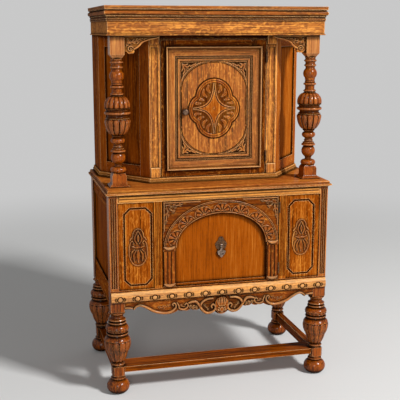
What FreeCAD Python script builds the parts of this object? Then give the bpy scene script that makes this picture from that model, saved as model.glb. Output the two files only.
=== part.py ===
import FreeCAD, Part
import math
import os

# A court cupboard in oak: a lower cupboard on turned legs, and above it a cupboard with
# canted sides that stands back behind two turned columns under a wide cornice.
# The origin is on the floor under the middle of the cupboard, X to the right, Y into the depth, Z up.

V = FreeCAD.Vector
up = V(0, 0, 1)
LEFT = -1
RIGHT = 1
SIDES = {"left": LEFT, "right": RIGHT}
ENDS = {"front": -1, "back": 1}

# Overall sizes, in millimetres
slab_width = 984.0
slab_depth = 576.0
slab_top_height = 888.0
slab_thickness = 24.0
total_height = 1625.0

# Clearances and overruns that many joints share
groove_clearance = 0.2
mortise_clearance = 0.2
tool_overrun = 10.0

# Lower cupboard, legs and posts
case_side_setback = 12.0
case_front_setback = 14.0
post_size = 58.0
post_length = 499.0
leg_block_low = 80.0
leg_block_high = 120.0
leg_block_size = 52.0
leg_block_corner_cut = 6.0
leg_vase_radius = 57.0
foot_ball_radius = 48.0
post_rebate_depth = 12.0
fluted_width = 35.0
flute_radius = 3.4
flute_count = 3
flute_foot_margin = 12.0
flute_head_margin = 14.0

# Stretchers between the legs
side_stretcher_width = 30.0
side_stretcher_low = 80.0
side_stretcher_high = 118.0
front_stretcher_setback = 8.0
front_stretcher_depth = 92.0
front_stretcher_low = 94.0
front_stretcher_high = 118.0
stretcher_tenon_length = 18.0
stretcher_tenon_margin = 8.0

# Edge of the slab
slab_edge_inset = 13.0

# Rails and panels of the lower cupboard
rail_thickness = 22.0
rail_tenon_length = 20.0
rail_tenon_thickness = 10.0
rail_tenon_margin = 9.0
side_rail_setback = 4.0
side_bottom_rail_drop = 484.0
side_bottom_rail_height = 90.0
side_top_rail_height = 64.0
panel_thickness = 8.0
panel_groove_depth = 8.0
front_bottom_rail_drop = 461.0
front_bottom_rail_height = 57.0
front_top_rail_height = 32.0
bead_strip_rise = 3.0
bead_strip_height = 26.0
bead_strip_end_margin = 7.0
bead_projection = 3.0
bottom_board_thickness = 18.0
bottom_board_step = 2.0
back_thickness = 8.0
front_panel_opening = 130.0
stile_width = 33.0
reed_count = 4
reed_groove_radius = 2.2
front_panel_setback = 4.0

# Mouldings and carving on the front of the lower cupboard
octagon_from_stile = 7.0
octagon_foot_margin = 14.0
octagon_head_margin = 21.0
octagon_corner_cut = 27.0
octagon_groove_width = 9.0
octagon_groove_depth = 4.0
oval_carving_width = 83.0
oval_carving_height = 166.0
oval_carving_relief = 5.0
gadroon_strip_foot_margin = 8.0
gadroon_strip_head_margin = 7.0
gadroon_strip_end_margin = 2.0
gadroon_strip_thickness = 12.0
gadroon_fillet_height = 13.0
apron_thickness = 14.0
apron_setback = 2.0
apron_depth = 81.0
apron_shell_width = 52.0
apron_shell_height = 75.0
apron_shell_rise = 3.0
apron_shell_relief = 10.0

# Lower door
lower_door_gap = 3.0
lower_door_board_setback = 12.0
lower_door_board_thickness = 18.0
arch_board_edge_margin = 2.2
arch_foot_rise = 5.0
arch_top_margin = 3.0
arch_side_margin = 1.8
arch_inner_rise = 139.0
arch_band_width = 55.0
arch_band_relief = 3.0
door_pilaster_width = 50.0
door_capital_height = 22.0
door_base_height = 13.0
door_ledge_height = 10.0
door_ledge_projection = 6.0

# Hinges, two on each door
hinge_height = 45.0
hinge_leaf_depth = 20.0
hinge_leaf_thickness = 1.2
hinge_knuckle_radius = 3.2
hinge_pin_radius = 1.5
hinge_pin_clearance = 0.08
hinge_face_gap = 0.3
hinge_knuckle_gap = 0.3
hinge_pin_head_height = 2.5
hinge_pin_head_radius = 2.6
lower_hinge_foot_margin = 47.0
lower_hinge_head_margin = 49.0
upper_hinge_margin = 73.0

# Drop pull of the lower door
pull_below_arch_centre = 2.0
backplate_width = 46.0
backplate_height = 66.0
backplate_thickness = 2.0
pull_pin_radius = 1.6
pull_pin_clearance = 0.15
pull_pin_stand_off = 5.2
pull_ear_thickness = 2.5
pull_ear_radius = 3.2
pull_eye_width = 7.0
pull_eye_radius = 3.8
pull_side_gap = 0.4
pull_drop_length = 55.0
pull_leaf_width = 33.0
pull_leaf_thickness = 4.0

# Spring catch of the lower door
catch_from_edge = 50.0
catch_plate_length = 24.0
catch_plate_width = 16.0
catch_plate_thickness = 1.5
catch_plate_gap = 3.0
catch_leaf_thickness = 1.2
catch_leaf_height = 16.0
catch_stud_radius = 2.0
catch_stud_length = 10.0
catch_stud_height = 12.0
catch_stud_clearance = 0.8

# Upper cupboard, its plan and its walls
upper_front_setback = 143.0
upper_side_setback = 32.0
canted_side_run = 179.0
canted_side_depth = 233.0
wall_thickness = 20.0
plinth_height = 21.0
plinth_projection = 9.0
upper_floor_thickness = 18.0
pilaster_width = 46.0
pilaster_panel_margin = 8.0
pilaster_panel_depth = 3.0
pilaster_panel_foot_margin = 29.0
pilaster_panel_slope = 22.0
pilaster_panel_head_margin = 49.0
canted_front_stile = 56.0
canted_back_stile = 38.0
canted_rail_low_height = 49.0
canted_rail_high_height = 49.0
canted_panel_setback = 7.0
upper_shelf_rise = 318.0
upper_shelf_thickness = 16.0
upper_shelf_setback = 45.0
upper_shelf_clearance = 1.0
batten_height = 18.0
batten_thickness = 12.0
batten_end_margin = 40.0

# Upper door
upper_door_gap = 3.5
upper_door_foot_gap = 3.0
upper_top_rail_height = 15.5
upper_door_thickness = 20.0
upper_door_stile_width = 66.0
upper_door_panel_setback = 4.0
upper_door_panel_thickness = 12.0
upper_door_panel_tongue = 9.0
door_moulding_side_margin = 22.5
door_moulding_end_margin = 28.0
door_moulding_width = 62.0
door_moulding_height = 15.0
door_oval_relief = 3.0
door_oval_clearance = 0.4
door_oval_straight_share = 0.394
quatrefoil_from_knob = 4.2
quatrefoil_height_share = 0.641
quatrefoil_relief = 4.0

# Turning knob and its latch bar on the upper door
knob_from_oval_edge = 16.6
knob_below_middle = 12.0
knob_radius = 13.0
knob_length = 24.0
spindle_radius = 4.0
spindle_clearance = 0.08
latch_width = 16.0
latch_length = 122.0
latch_thickness = 4.0
latch_stand_off = 2.0
latch_tail = 14.0

# Columns, brackets, frieze and cornice
column_side_setback = 70.0
column_axis_setback = 112.0
column_radius = 54.0
column_block_size = 59.0
column_block_height = 94.0
column_chamfer_height = 18.0
column_plinth_width = 84.0
column_plinth_flare = 15.0
column_plinth_size = 60.0
column_plinth_height = 57.0
column_plinth_shoulder = 12.0
bracket_length = 147.0
bracket_drop = 71.0
bracket_thickness = 18.0
bracket_setback = 90.0
frieze_side_setback = 28.0
frieze_front_setback = 64.0
frieze_height = 57.0
frieze_thickness = 20.0
frieze_bead = 2.5
soffit_thickness = 12.0
cornice_height = 49.0
cornice_projection = 13.0
top_board_thickness = 12.0
top_board_inset = 2.0

# Places of the lower cupboard that follow from the sizes above
slab_half = slab_width / 2
slab_underside = slab_top_height - slab_thickness
front_edge = -slab_depth / 2 - case_front_setback / 2
wall_line = slab_depth / 2 - case_front_setback / 2
case_half = slab_half - case_side_setback
case_front = front_edge + case_front_setback
leg_turning_top_height = slab_underside - post_length
leg_axis_x = case_half - post_size / 2
leg_axis_front = case_front + post_size / 2
leg_axis_back = wall_line - post_size / 2
post_inner_x = case_half - post_size
fluted_edge_x = case_half - fluted_width
side_bottom_rail_low = slab_underside - side_bottom_rail_drop
side_bottom_rail_high = side_bottom_rail_low + side_bottom_rail_height
front_bottom_rail_low = slab_underside - front_bottom_rail_drop
front_bottom_rail_high = front_bottom_rail_low + front_bottom_rail_height
flute_low = front_bottom_rail_high + flute_foot_margin
flute_high = slab_underside - flute_head_margin
side_top_rail_low = slab_underside - side_top_rail_height
front_top_rail_low = slab_underside - front_top_rail_height
bead_strip_low = front_top_rail_low + bead_strip_rise
gadroon_strip_low = front_bottom_rail_low + gadroon_strip_foot_margin
gadroon_strip_high = front_bottom_rail_high - gadroon_strip_head_margin
bottom_board_top = front_bottom_rail_high - bottom_board_step
stile_outer_x = post_inner_x - front_panel_opening
stile_inner_x = stile_outer_x - stile_width
octagon_width = front_panel_opening - octagon_from_stile
octagon_low = front_bottom_rail_high + octagon_foot_margin
octagon_high = front_top_rail_low - octagon_head_margin
octagon_height = octagon_high - octagon_low
octagon_middle_x = post_inner_x - octagon_width / 2
octagon_middle_z = (octagon_low + octagon_high) / 2

# Places of the lower door
lower_door_half = stile_inner_x - lower_door_gap
lower_door_low = front_bottom_rail_high + lower_door_gap
lower_door_high = front_top_rail_low - lower_door_gap
lower_board_front = case_front + lower_door_board_setback
arch_board_half = lower_door_half - arch_board_edge_margin
arch_inner_half_width = arch_board_half - arch_band_width - arch_side_margin
arch_centre_height = lower_door_high - arch_top_margin - arch_band_width - arch_inner_rise
arch_board_low = arch_centre_height + arch_foot_rise
pull_height = arch_centre_height - pull_below_arch_centre
lower_hinge_heights = [lower_door_low + lower_hinge_foot_margin, lower_door_high - lower_hinge_head_margin]

# Places of the upper cupboard
upper_front = front_edge + upper_front_setback
upper_side_half_width = slab_half - upper_side_setback
upper_front_half_width = upper_side_half_width - canted_side_run
upper_wall_low = slab_top_height + plinth_height
upper_shelf_height = slab_top_height + upper_shelf_rise
frieze_high = total_height - top_board_thickness - cornice_height
frieze_low = frieze_high - frieze_height
frieze_half = slab_half - frieze_side_setback
frieze_front = front_edge + frieze_front_setback
column_from_centre = slab_half - column_side_setback
column_axis_y = front_edge + column_axis_setback
pilaster_panel_low = upper_wall_low + pilaster_panel_foot_margin
pilaster_panel_high = frieze_low - pilaster_panel_head_margin

# Places of the upper door
upper_door_half = upper_front_half_width - pilaster_width - upper_door_gap
upper_door_low = upper_wall_low + upper_door_foot_gap
upper_door_high = frieze_low - upper_top_rail_height - upper_door_gap
upper_door_middle = (upper_door_low + upper_door_high) / 2
door_panel_front = upper_front + upper_door_panel_setback
door_moulding_half_width = upper_door_half - door_moulding_side_margin
door_moulding_half_height = upper_door_middle - upper_door_low - door_moulding_end_margin
door_oval_half_width = door_moulding_half_width - door_moulding_width - door_oval_clearance
door_oval_half_height = door_moulding_half_height - door_moulding_width - door_oval_clearance
knob_from_centre = door_oval_half_width - knob_from_oval_edge
knob_height = upper_door_middle - knob_below_middle
upper_hinge_heights = [upper_door_low + upper_hinge_margin, upper_door_high - upper_hinge_margin]


def box(x0, x1, y0, y1, z0, z1):
    """A block between two corners, given in any order along each axis."""
    low = V(min(x0, x1), min(y0, y1), min(z0, z1))
    return Part.makeBox(abs(x1 - x0), abs(y1 - y0), abs(z1 - z0), low)


def mirrored(shape):
    """The same piece on the other side of the middle plane."""
    return shape.mirror(V(0, 0, 0), V(1, 0, 0))


def on_side(shape, side):
    """A piece drawn for the right side, placed on either side."""
    return shape if side == RIGHT else mirrored(shape)


def outline(rows, place):
    """A closed wire through rows of (u, v, curve), followed anticlockwise.

    curve belongs to the stretch that ends at its point: the height of the arc over the
    chord, as a share of the chord, positive outwards and 0 for a straight stretch."""
    edges = []
    for (u0, v0, _), (u1, v1, curve) in zip(rows[-1:] + rows[:-1], rows):
        start = place(u0, v0)
        end = place(u1, v1)
        if curve:
            middle = place((u0 + u1) / 2 + (v1 - v0) * curve, (v0 + v1) / 2 - (u1 - u0) * curve)
            edges.append(Part.Arc(start, middle, end).toShape())
        else:
            edges.append(Part.LineSegment(start, end).toShape())
    return Part.Wire(edges)


def scaled(rows, width, height, u0=0, v0=0):
    """Rows of shares turned into sizes: u and v from a corner, the curves as they are."""
    return [(u0 + u * width, v0 + v * height, curve) for u, v, curve in rows]


def front_plate(rows, y_front, y_back):
    """An outline in X and Z, made solid from its front plane back."""
    face = Part.Face(outline(rows, lambda u, v: V(u, y_front, v)))
    return face.extrude(V(0, y_back - y_front, 0))


def plan_block(points, z0, z1):
    """A block that stands on a straight-edged plan."""
    loop = Part.makePolygon([V(x, y, z0) for x, y in points + points[:1]])
    return Part.Face(loop).extrude(V(0, 0, z1 - z0))


def turned(rows, axis_x, axis_y):
    """A turned piece: rows of (radius, height, curve) from the bottom up, spun round its axis."""
    closed = [(0, rows[0][1], 0)] + rows + [(0, rows[-1][1], 0)]
    face = Part.Face(outline(closed, lambda u, v: V(axis_x + u, axis_y, v)))
    return face.revolve(V(axis_x, axis_y, 0), up, 360)


def rod(radius, start, end):
    """A round rod from one point to another."""
    way = end.sub(start)
    return Part.makeCylinder(radius, way.Length, start, way)


def fused(shapes):
    """Several overlapping or touching shapes as one solid."""
    return shapes[0].fuse(shapes[1:]).removeSplitter()


def group(shapes):
    """Several separate solids that share one node."""
    return Part.makeCompound([solid for shape in shapes for solid in shape.Solids])


def chamfered_block(x, y, size, z0, z1, cut):
    """A square block on an axis, with its four upright corners cut off."""
    half = size / 2
    near = half - cut
    corners = [(half, -near), (half, near), (near, half), (-near, half),
               (-half, near), (-half, -near), (-near, -half), (near, -half)]
    return plan_block([(x + u, y + v) for u, v in corners], z0, z1)


# Turned profiles: (share of the largest radius, share of the height, curve)

foot_shares = [
    (0.50, 0.00, 0), (0.62, 0.75, 0.36), (0.56, 0.78, 0), (0.58, 0.89, 0.45), (0.54, 0.91, 0),
    (0.54, 1.00, 0),
]

leg_vase_shares = [
    (0.42, 0.000, 0), (0.42, 0.020, 0.40), (0.46, 0.029, 0), (0.46, 0.065, 0.45), (0.44, 0.073, 0),
    (0.79, 0.269, 0.05), (1.00, 0.416, 0.07), (0.97, 0.490, 0.06), (0.88, 0.531, 0.08),
    (0.70, 0.563, 0.08), (0.67, 0.580, 0), (0.77, 0.588, 0), (0.77, 0.620, 0.45), (0.67, 0.624, 0),
    (0.63, 0.767, 0.34), (0.56, 0.780, 0), (0.63, 0.788, 0), (0.63, 0.816, 0.45), (0.54, 0.824, 0),
    (0.60, 0.841, 0), (0.60, 0.869, 0.45), (0.49, 0.886, 0), (0.49, 0.939, -0.15), (0.63, 0.971, 0),
    (0.51, 1.000, 0),
]

column_shares = [
    (0.46, 0.000, 0), (0.46, 0.051, 0.32), (0.27, 0.058, 0), (0.27, 0.077, -0.10), (0.37, 0.090, 0),
    (0.41, 0.177, 0.21), (0.39, 0.181, 0), (0.48, 0.184, 0), (0.48, 0.205, 0.45), (0.44, 0.209, 0),
    (0.46, 0.218, 0.20), (0.33, 0.229, -0.20), (0.33, 0.241, 0.45), (0.31, 0.254, -0.10),
    (0.37, 0.261, 0), (0.37, 0.314, 0.38), (0.43, 0.325, 0), (0.97, 0.438, 0.10), (0.97, 0.481, 0.08),
    (0.82, 0.494, 0), (0.82, 0.515, -0.25), (0.91, 0.519, 0), (0.91, 0.545, 0.42), (0.84, 0.549, 0),
    (0.84, 0.562, 0), (0.98, 0.573, 0), (0.98, 0.585, 0.10), (0.44, 0.682, 0.18), (0.43, 0.686, 0),
    (0.43, 0.705, 0.45), (0.38, 0.712, 0), (0.38, 0.744, 0), (0.43, 0.748, 0), (0.43, 0.769, 0.45),
    (0.37, 0.774, 0), (0.37, 0.788, 0.40), (0.40, 0.797, -0.10), (0.41, 0.814, 0), (0.42, 0.893, 0.20),
    (0.37, 0.912, -0.10), (0.41, 0.919, 0), (0.41, 0.938, 0.45), (0.39, 0.944, 0), (0.39, 0.955, 0),
    (0.43, 0.962, 0), (0.43, 0.981, 0.45), (0.40, 0.987, 0), (0.44, 1.000, 0),
]

# Moulded edges, bottom to top:
# (share of the projection in from the widest line, share of the height, curve)

slab_edge_shares = [
    (0.70, 0.00, 0), (0.00, 0.17, -0.20), (0.00, 0.44, 0), (0.35, 0.50, 0), (0.55, 0.72, -0.22),
    (1.00, 1.00, 0.20),
]

cornice_shares = [
    (0.90, 0.00, 0), (0.90, 0.10, 0.45), (0.80, 0.14, 0), (0.80, 0.24, 0.45), (0.85, 0.27, 0),
    (0.55, 0.39, -0.25), (0.55, 0.43, 0), (0.70, 0.44, 0), (0.70, 0.49, 0), (0.40, 0.50, 0),
    (0.40, 0.84, 0.30), (0.60, 0.86, 0), (0.60, 0.92, 0), (0.25, 0.93, 0), (0.25, 1.00, 0),
]

top_board_shares = [
    (0.00, 0.00, 0), (0.00, 0.70, 0), (0.30, 1.00, 0.20),
]

frieze_shares = [
    (0.00, 0.00, 0), (0.00, 0.08, 0.40), (1.00, 0.09, 0), (1.00, 1.00, 0),
]


def edge_rows(shares, widest, base, height, projection):
    """A moulded edge in sizes: distance out from the middle, height, curve."""
    return [(widest - u * projection, base + v * height, curve) for u, v, curve in shares]


def moulded_block(shares, half_width, front, back, base, height, projection):
    """A board whose front and side edges carry one moulding, mitred at the two front corners."""
    far_y = -back
    across = edge_rows(shares, -front, base, height, projection)
    across = across + [(far_y, base + height, 0), (far_y, base, 0)]
    along = edge_rows(shares, half_width, base, height, projection)
    beyond = -half_width - tool_overrun
    along = along + [(beyond, base + height, 0), (beyond, base, 0)]
    start_x = -half_width - tool_overrun
    front_profile = Part.Face(outline(across, lambda u, v: V(start_x, -u, v)))
    board = front_profile.extrude(V(-2 * start_x, 0, 0))
    start_y = front - tool_overrun
    side_profile = Part.Face(outline(along, lambda u, v: V(u, start_y, v)))
    side = side_profile.extrude(V(0, back - start_y + tool_overrun, 0))
    return board.common(side).common(mirrored(side))


def mitred_box(shares, half_width, front, back, base, height, projection, wall):
    """Three mitred lengths of one moulding: across the front and back along both sides."""
    whole = moulded_block(shares, half_width, front, back, base, height, projection)
    inner_x = half_width - wall
    inner_y = front + wall
    ring = whole.cut(box(-inner_x, inner_x, inner_y, back + tool_overrun, base - tool_overrun,
                         base + height + tool_overrun))
    reach = half_width + tool_overrun
    near = front - tool_overrun
    front_plan = [(-reach, near), (reach, near), (inner_x, inner_y), (-inner_x, inner_y)]
    side_plan = [(reach, near), (reach, back), (inner_x, back), (inner_x, inner_y)]
    front_length = ring.common(plan_block(front_plan, base, base + height))
    side_length = ring.common(plan_block(side_plan, base, base + height))
    return group([front_length, side_length, mirrored(side_length)])


# Lower cupboard: legs, stretchers and rails

def tenon(x0, x1, y0, y1, z0, z1, grow=0):
    """A tenon, or with grow the mortise that it enters."""
    return box(x0 - grow, x1 + grow, y0 - grow, y1 + grow, z0 - grow, z1 + grow)


def side_rail_tenons(side, low, high, grow=0):
    """The two tenons of a side rail, in the front post and in the back post."""
    outer = case_half - side_rail_setback
    middle = outer - rail_thickness / 2
    x0 = side * (middle - rail_tenon_thickness / 2)
    x1 = side * (middle + rail_tenon_thickness / 2)
    x0, x1 = min(x0, x1), max(x0, x1)
    z0 = low + rail_tenon_margin
    z1 = high - rail_tenon_margin
    front_shoulder = case_front + post_size
    back_shoulder = wall_line - post_size
    return [tenon(x0, x1, front_shoulder - rail_tenon_length, front_shoulder, z0, z1, grow),
            tenon(x0, x1, back_shoulder, back_shoulder + rail_tenon_length, z0, z1, grow)]


def front_rail_tenons(grow=0):
    """The two tenons of the front bottom rail."""
    middle = case_front + rail_thickness / 2
    y0 = middle - rail_tenon_thickness / 2
    y1 = middle + rail_tenon_thickness / 2
    z0 = front_bottom_rail_low + rail_tenon_margin
    z1 = front_bottom_rail_high - rail_tenon_margin
    reach = post_inner_x + rail_tenon_length
    return [tenon(post_inner_x, reach, y0, y1, z0, z1, grow),
            tenon(-reach, -post_inner_x, y0, y1, z0, z1, grow)]


def side_stretcher_tenons(side, grow=0):
    """The two tenons of a side stretcher, in the blocks of the front leg and the back leg."""
    half = side_stretcher_width / 2 - stretcher_tenon_margin
    x0 = side * leg_axis_x - half
    x1 = side * leg_axis_x + half
    z0 = side_stretcher_low + stretcher_tenon_margin
    z1 = side_stretcher_high - stretcher_tenon_margin
    front_shoulder = leg_axis_front + leg_block_size / 2
    back_shoulder = leg_axis_back - leg_block_size / 2
    return [tenon(x0, x1, front_shoulder - stretcher_tenon_length, front_shoulder, z0, z1, grow),
            tenon(x0, x1, back_shoulder, back_shoulder + stretcher_tenon_length, z0, z1, grow)]


def side_panel_block(side, grow=0):
    """The panel of one side, which enters grooves in the posts and the rails."""
    outer = case_half - side_rail_setback - (rail_thickness - panel_thickness) / 2
    x0 = side * (outer - panel_thickness)
    x1 = side * outer
    y0 = case_front + post_size - panel_groove_depth
    y1 = wall_line - post_size + panel_groove_depth
    z0 = side_bottom_rail_high - panel_groove_depth
    z1 = side_top_rail_low + panel_groove_depth
    return box(min(x0, x1) - grow, max(x0, x1) + grow, y0 - grow, y1 + grow, z0 - grow, z1 + grow)


def all_mortises():
    """Every hollow that a tenon or a panel enters, a clearance larger than what goes in."""
    hollows = front_rail_tenons(mortise_clearance)
    for side in SIDES.values():
        hollows += side_rail_tenons(side, side_bottom_rail_low, side_bottom_rail_high, mortise_clearance)
        hollows += side_rail_tenons(side, side_top_rail_low, slab_underside, mortise_clearance)
        hollows += side_stretcher_tenons(side, mortise_clearance)
        hollows.append(side_panel_block(side, groove_clearance))
    return hollows


def flutes(side):
    """The upright flutes on the outer part of a front post, round at both ends."""
    pitch = fluted_width / (flute_count + 1)
    cuts = []
    for number in range(flute_count):
        x = side * (fluted_edge_x + pitch * (number + 1))
        foot = V(x, case_front, flute_low)
        head = V(x, case_front, flute_high)
        cuts.append(rod(flute_radius, foot, head))
        cuts.append(Part.makeSphere(flute_radius, foot))
        cuts.append(Part.makeSphere(flute_radius, head))
    return cuts


def leg(side, end):
    """One leg: ball foot, stretcher block, turned vase, and the square post up to the slab."""
    x = side * leg_axis_x
    y = leg_axis_front if end < 0 else leg_axis_back
    foot = turned(scaled(foot_shares, foot_ball_radius, leg_block_low), x, y)
    block = chamfered_block(x, y, leg_block_size, leg_block_low, leg_block_high, leg_block_corner_cut)
    vase_height = leg_turning_top_height - leg_block_high
    vase = turned(scaled(leg_vase_shares, leg_vase_radius, vase_height, v0=leg_block_high), x, y)
    half = post_size / 2
    post = box(x - half, x + half, y - half, y + half, leg_turning_top_height, slab_underside)
    cuts = all_mortises()
    if end < 0:
        rebate_outer = side * fluted_edge_x
        rebate_inner = side * (post_inner_x - tool_overrun)
        cuts.append(box(rebate_inner, rebate_outer, case_front - tool_overrun,
                        case_front + post_rebate_depth, front_bottom_rail_high, slab_top_height))
        cuts += flutes(side)
    return fused([foot, block, vase, post]).cut(cuts)


def side_stretcher(side):
    """A stretcher from the front leg to the back leg."""
    x = side * leg_axis_x
    half = side_stretcher_width / 2
    bar = box(x - half, x + half, leg_axis_front + leg_block_size / 2, leg_axis_back - leg_block_size / 2,
              side_stretcher_low, side_stretcher_high)
    return fused([bar] + side_stretcher_tenons(side))


def front_stretcher():
    """The flat board between the side stretchers, notched round the blocks of the front legs."""
    reach = leg_axis_x - side_stretcher_width / 2
    front = case_front + front_stretcher_setback
    board = box(-reach, reach, front, front + front_stretcher_depth, front_stretcher_low,
                front_stretcher_high)
    block_half = leg_block_size / 2
    notch_inner = leg_axis_x - block_half
    notch_back = leg_axis_front + block_half
    notch = box(notch_inner, leg_axis_x, front - tool_overrun, notch_back, leg_block_low, leg_block_high)
    return board.cut([notch, mirrored(notch)])


def side_rails(side):
    """The bottom rail and the top rail of one side, grooved for the panel."""
    outer = side * (case_half - side_rail_setback)
    inner = outer - side * rail_thickness
    rails = []
    for low, high in ((side_bottom_rail_low, side_bottom_rail_high), (side_top_rail_low, slab_underside)):
        bar = box(inner, outer, case_front + post_size, wall_line - post_size, low, high)
        rail = fused([bar] + side_rail_tenons(side, low, high))
        rails.append(rail.cut(side_panel_block(side, groove_clearance)))
    return rails


def slab():
    """The board that closes the lower cupboard, with an ogee on its front and side edges."""
    return moulded_block(slab_edge_shares, slab_half, front_edge, wall_line, slab_underside,
                         slab_thickness, slab_edge_inset)


def front_bottom_rail():
    """The rail under the lower door."""
    bar = box(-post_inner_x, post_inner_x, case_front, case_front + rail_thickness,
              front_bottom_rail_low, front_bottom_rail_high)
    return fused([bar] + front_rail_tenons())


def front_top_rail():
    """The rail over the lower door, lapped on the posts, with two beads along its face."""
    back = case_front + post_rebate_depth
    rail = box(-fluted_edge_x, fluted_edge_x, case_front, back, front_top_rail_low, slab_underside)
    bead_end = fluted_edge_x - bead_strip_end_margin
    outer = -case_front
    bead_height = bead_strip_height / 2
    parts = [rail]
    for number in range(2):
        low = bead_strip_low + bead_height * number
        high = low + bead_height
        rows = [(outer, low, 0), (outer, high, bead_projection / bead_height),
                (outer - bead_projection, high, 0), (outer - bead_projection, low, 0)]
        face = Part.Face(outline(rows, lambda u, v: V(-bead_end, -u, v)))
        parts.append(face.extrude(V(2 * bead_end, 0, 0)))
    return fused(parts)


def reeded_stile(side):
    """The stile beside the lower door, with upright grooves that leave reeds between them."""
    stile = box(side * stile_inner_x, side * stile_outer_x, case_front, case_front + rail_thickness,
                front_bottom_rail_high, front_top_rail_low)
    pitch = stile_width / (reed_count + 1)
    grooves = []
    for number in range(reed_count):
        x = side * (stile_inner_x + pitch * (number + 1))
        head = V(x, case_front, flute_high - 2 * pitch)
        grooves.append(rod(reed_groove_radius, V(x, case_front, flute_low), head))
    return stile.cut(grooves)


def octagon_wire(inset, y):
    """A rectangle with cut corners on the fixed panel, drawn in by an inset, in the plane y."""
    half_w = octagon_width / 2 - inset
    half_h = octagon_height / 2 - inset
    cut = octagon_corner_cut - inset * (2 - math.sqrt(2))
    corners = [(half_w, cut - half_h), (half_w, half_h - cut), (half_w - cut, half_h),
               (cut - half_w, half_h), (-half_w, half_h - cut), (-half_w, cut - half_h),
               (cut - half_w, -half_h), (half_w - cut, -half_h)]
    points = [V(octagon_middle_x + u, y, octagon_middle_z + v) for u, v in corners]
    return Part.makePolygon(points + points[:1])


def front_panel():
    """The fixed panel between the right reeded stile and the fluted post, lapped on the post, with an
    eight-sided groove of V section."""
    face = case_front + front_panel_setback
    board = box(stile_outer_x, fluted_edge_x, face, face + panel_thickness, front_bottom_rail_high,
                front_top_rail_low)
    bottom = face + octagon_groove_depth
    middle = octagon_wire(octagon_groove_width / 2, bottom)
    hollow = Part.makeLoft([octagon_wire(0, face), middle], True, True)
    island = Part.makeLoft([octagon_wire(octagon_groove_width, face), middle], True, True)
    return fused([board.cut(hollow), island])


# The carved oval of a fixed panel, its right half from the bottom up:
# (share of the half width, share of the half height, curve)
oval_carving_shares = [
    (0.00, -1.00, 0), (0.22, -0.96, 0.10), (0.40, -0.84, 0.25), (0.72, -0.70, 0.20), (0.84, -0.40, 0.20),
    (1.00, -0.10, 0.15), (0.94, 0.32, 0.15), (0.72, 0.62, 0.20), (0.36, 0.74, 0.20), (0.00, 1.00, 0.12),
]


def two_sided(rows):
    """An outline from its right half, whose first and last points lie on the middle line."""
    curves = [curve for _, _, curve in rows]
    left = []
    for index in range(len(rows) - 2, -1, -1):
        u, v, _ = rows[index]
        left.append((-u, v, curves[index + 1]))
    first = (rows[0][0], rows[0][1], left[-1][2])
    return [first] + rows[1:] + left[:-1]


def shifted(rows, du, dv):
    """An outline moved in its plane."""
    return [(u + du, v + dv, curve) for u, v, curve in rows]


def oval_carving():
    """The applied carving in the middle of a fixed panel."""
    rows = scaled(two_sided(oval_carving_shares), oval_carving_width / 2, oval_carving_height / 2,
                  octagon_middle_x, octagon_middle_z)
    back = case_front + front_panel_setback
    return front_plate(rows, back - oval_carving_relief, back)


def gadroon_strip():
    """The carved strip across the foot of the cupboard: a sloped fillet over a bowed band."""
    front = -case_front
    band_top = gadroon_strip_high - gadroon_fillet_height
    bow = gadroon_strip_thickness / 4
    lip = front + gadroon_strip_thickness - bow
    rows = [(front, gadroon_strip_low, 0), (lip, gadroon_strip_low, 0),
            (lip, band_top, bow / (band_top - gadroon_strip_low)), (front + bow, gadroon_strip_high, 0),
            (front, gadroon_strip_high, 0)]
    half = case_half - gadroon_strip_end_margin
    face = Part.Face(outline(rows, lambda u, v: V(-half, -u, v)))
    return face.extrude(V(2 * half, 0, 0))


# Lower edge of the apron from its middle to the post:
# (share of the half span, share of the apron's depth down from its top, curve)
apron_edge_shares = [
    (0.000, 1.000, 0), (0.073, 0.809, 0.12), (0.145, 0.957, 0.15), (0.199, 0.790, 0.15),
    (0.232, 0.610, 0.05), (0.275, 0.650, 0.15), (0.325, 0.570, 0.15), (0.395, 0.640, 0.15),
    (0.455, 0.600, 0.10), (0.581, 0.765, 0.10), (0.649, 0.680, 0.10), (0.758, 0.432, -0.03),
    (0.829, 0.247, -0.08), (0.885, 0.300, -0.10), (0.905, 0.380, 0.15), (0.925, 0.340, 0),
    (1.000, 0.340, 0),
]


def apron_rows():
    """The apron's outline: scalloped below, straight above, the same on both sides."""
    half = post_inner_x
    top = front_bottom_rail_low
    right = [(u * half, top - v * apron_depth, curve) for u, v, curve in apron_edge_shares]
    rows = [(right[0][0], right[0][1], 0)] + right[1:]
    rows = rows + [(half, top, 0), (-half, top, 0), (-half, right[-1][1], 0)]
    for index in range(len(right) - 2, 0, -1):
        rows.append((-right[index][0], right[index][1], right[index + 1][2]))
    rows[0] = (rows[0][0], rows[0][1], right[1][2])
    return rows


def apron():
    """The scalloped board that hangs under the bottom rail, with a raised shell at its middle."""
    front = case_front + apron_setback
    board = front_plate(apron_rows(), front, front + apron_thickness)
    shell_low = front_bottom_rail_low - apron_depth + apron_shell_rise
    shell_high = shell_low + apron_shell_height
    half = apron_shell_width / 2
    waist = (shell_low + shell_high) / 2
    rows = [(0, shell_low, 0), (half, waist, 0.22), (0, shell_high, 0.30), (-half, waist, 0.30)]
    rows[0] = (0, shell_low, 0.22)
    shell = front_plate(rows, front - apron_shell_relief, front)
    return fused([board, shell])


def bottom_board():
    """The floor of the lower cupboard, notched round the four posts."""
    half = case_half - side_rail_setback - rail_thickness
    low = bottom_board_top - bottom_board_thickness
    board = box(-half, half, case_front + rail_thickness, wall_line - back_thickness, low,
                bottom_board_top)
    notches = []
    for side in SIDES.values():
        inner = side * (post_inner_x - groove_clearance)
        outer = side * (case_half + tool_overrun)
        for y0, y1 in ((case_front, case_front + post_size + groove_clearance),
                       (wall_line - post_size - groove_clearance, wall_line)):
            notches.append(box(inner, outer, y0, y1, low - tool_overrun, bottom_board_top + tool_overrun))
    return board.cut(notches)


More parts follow.
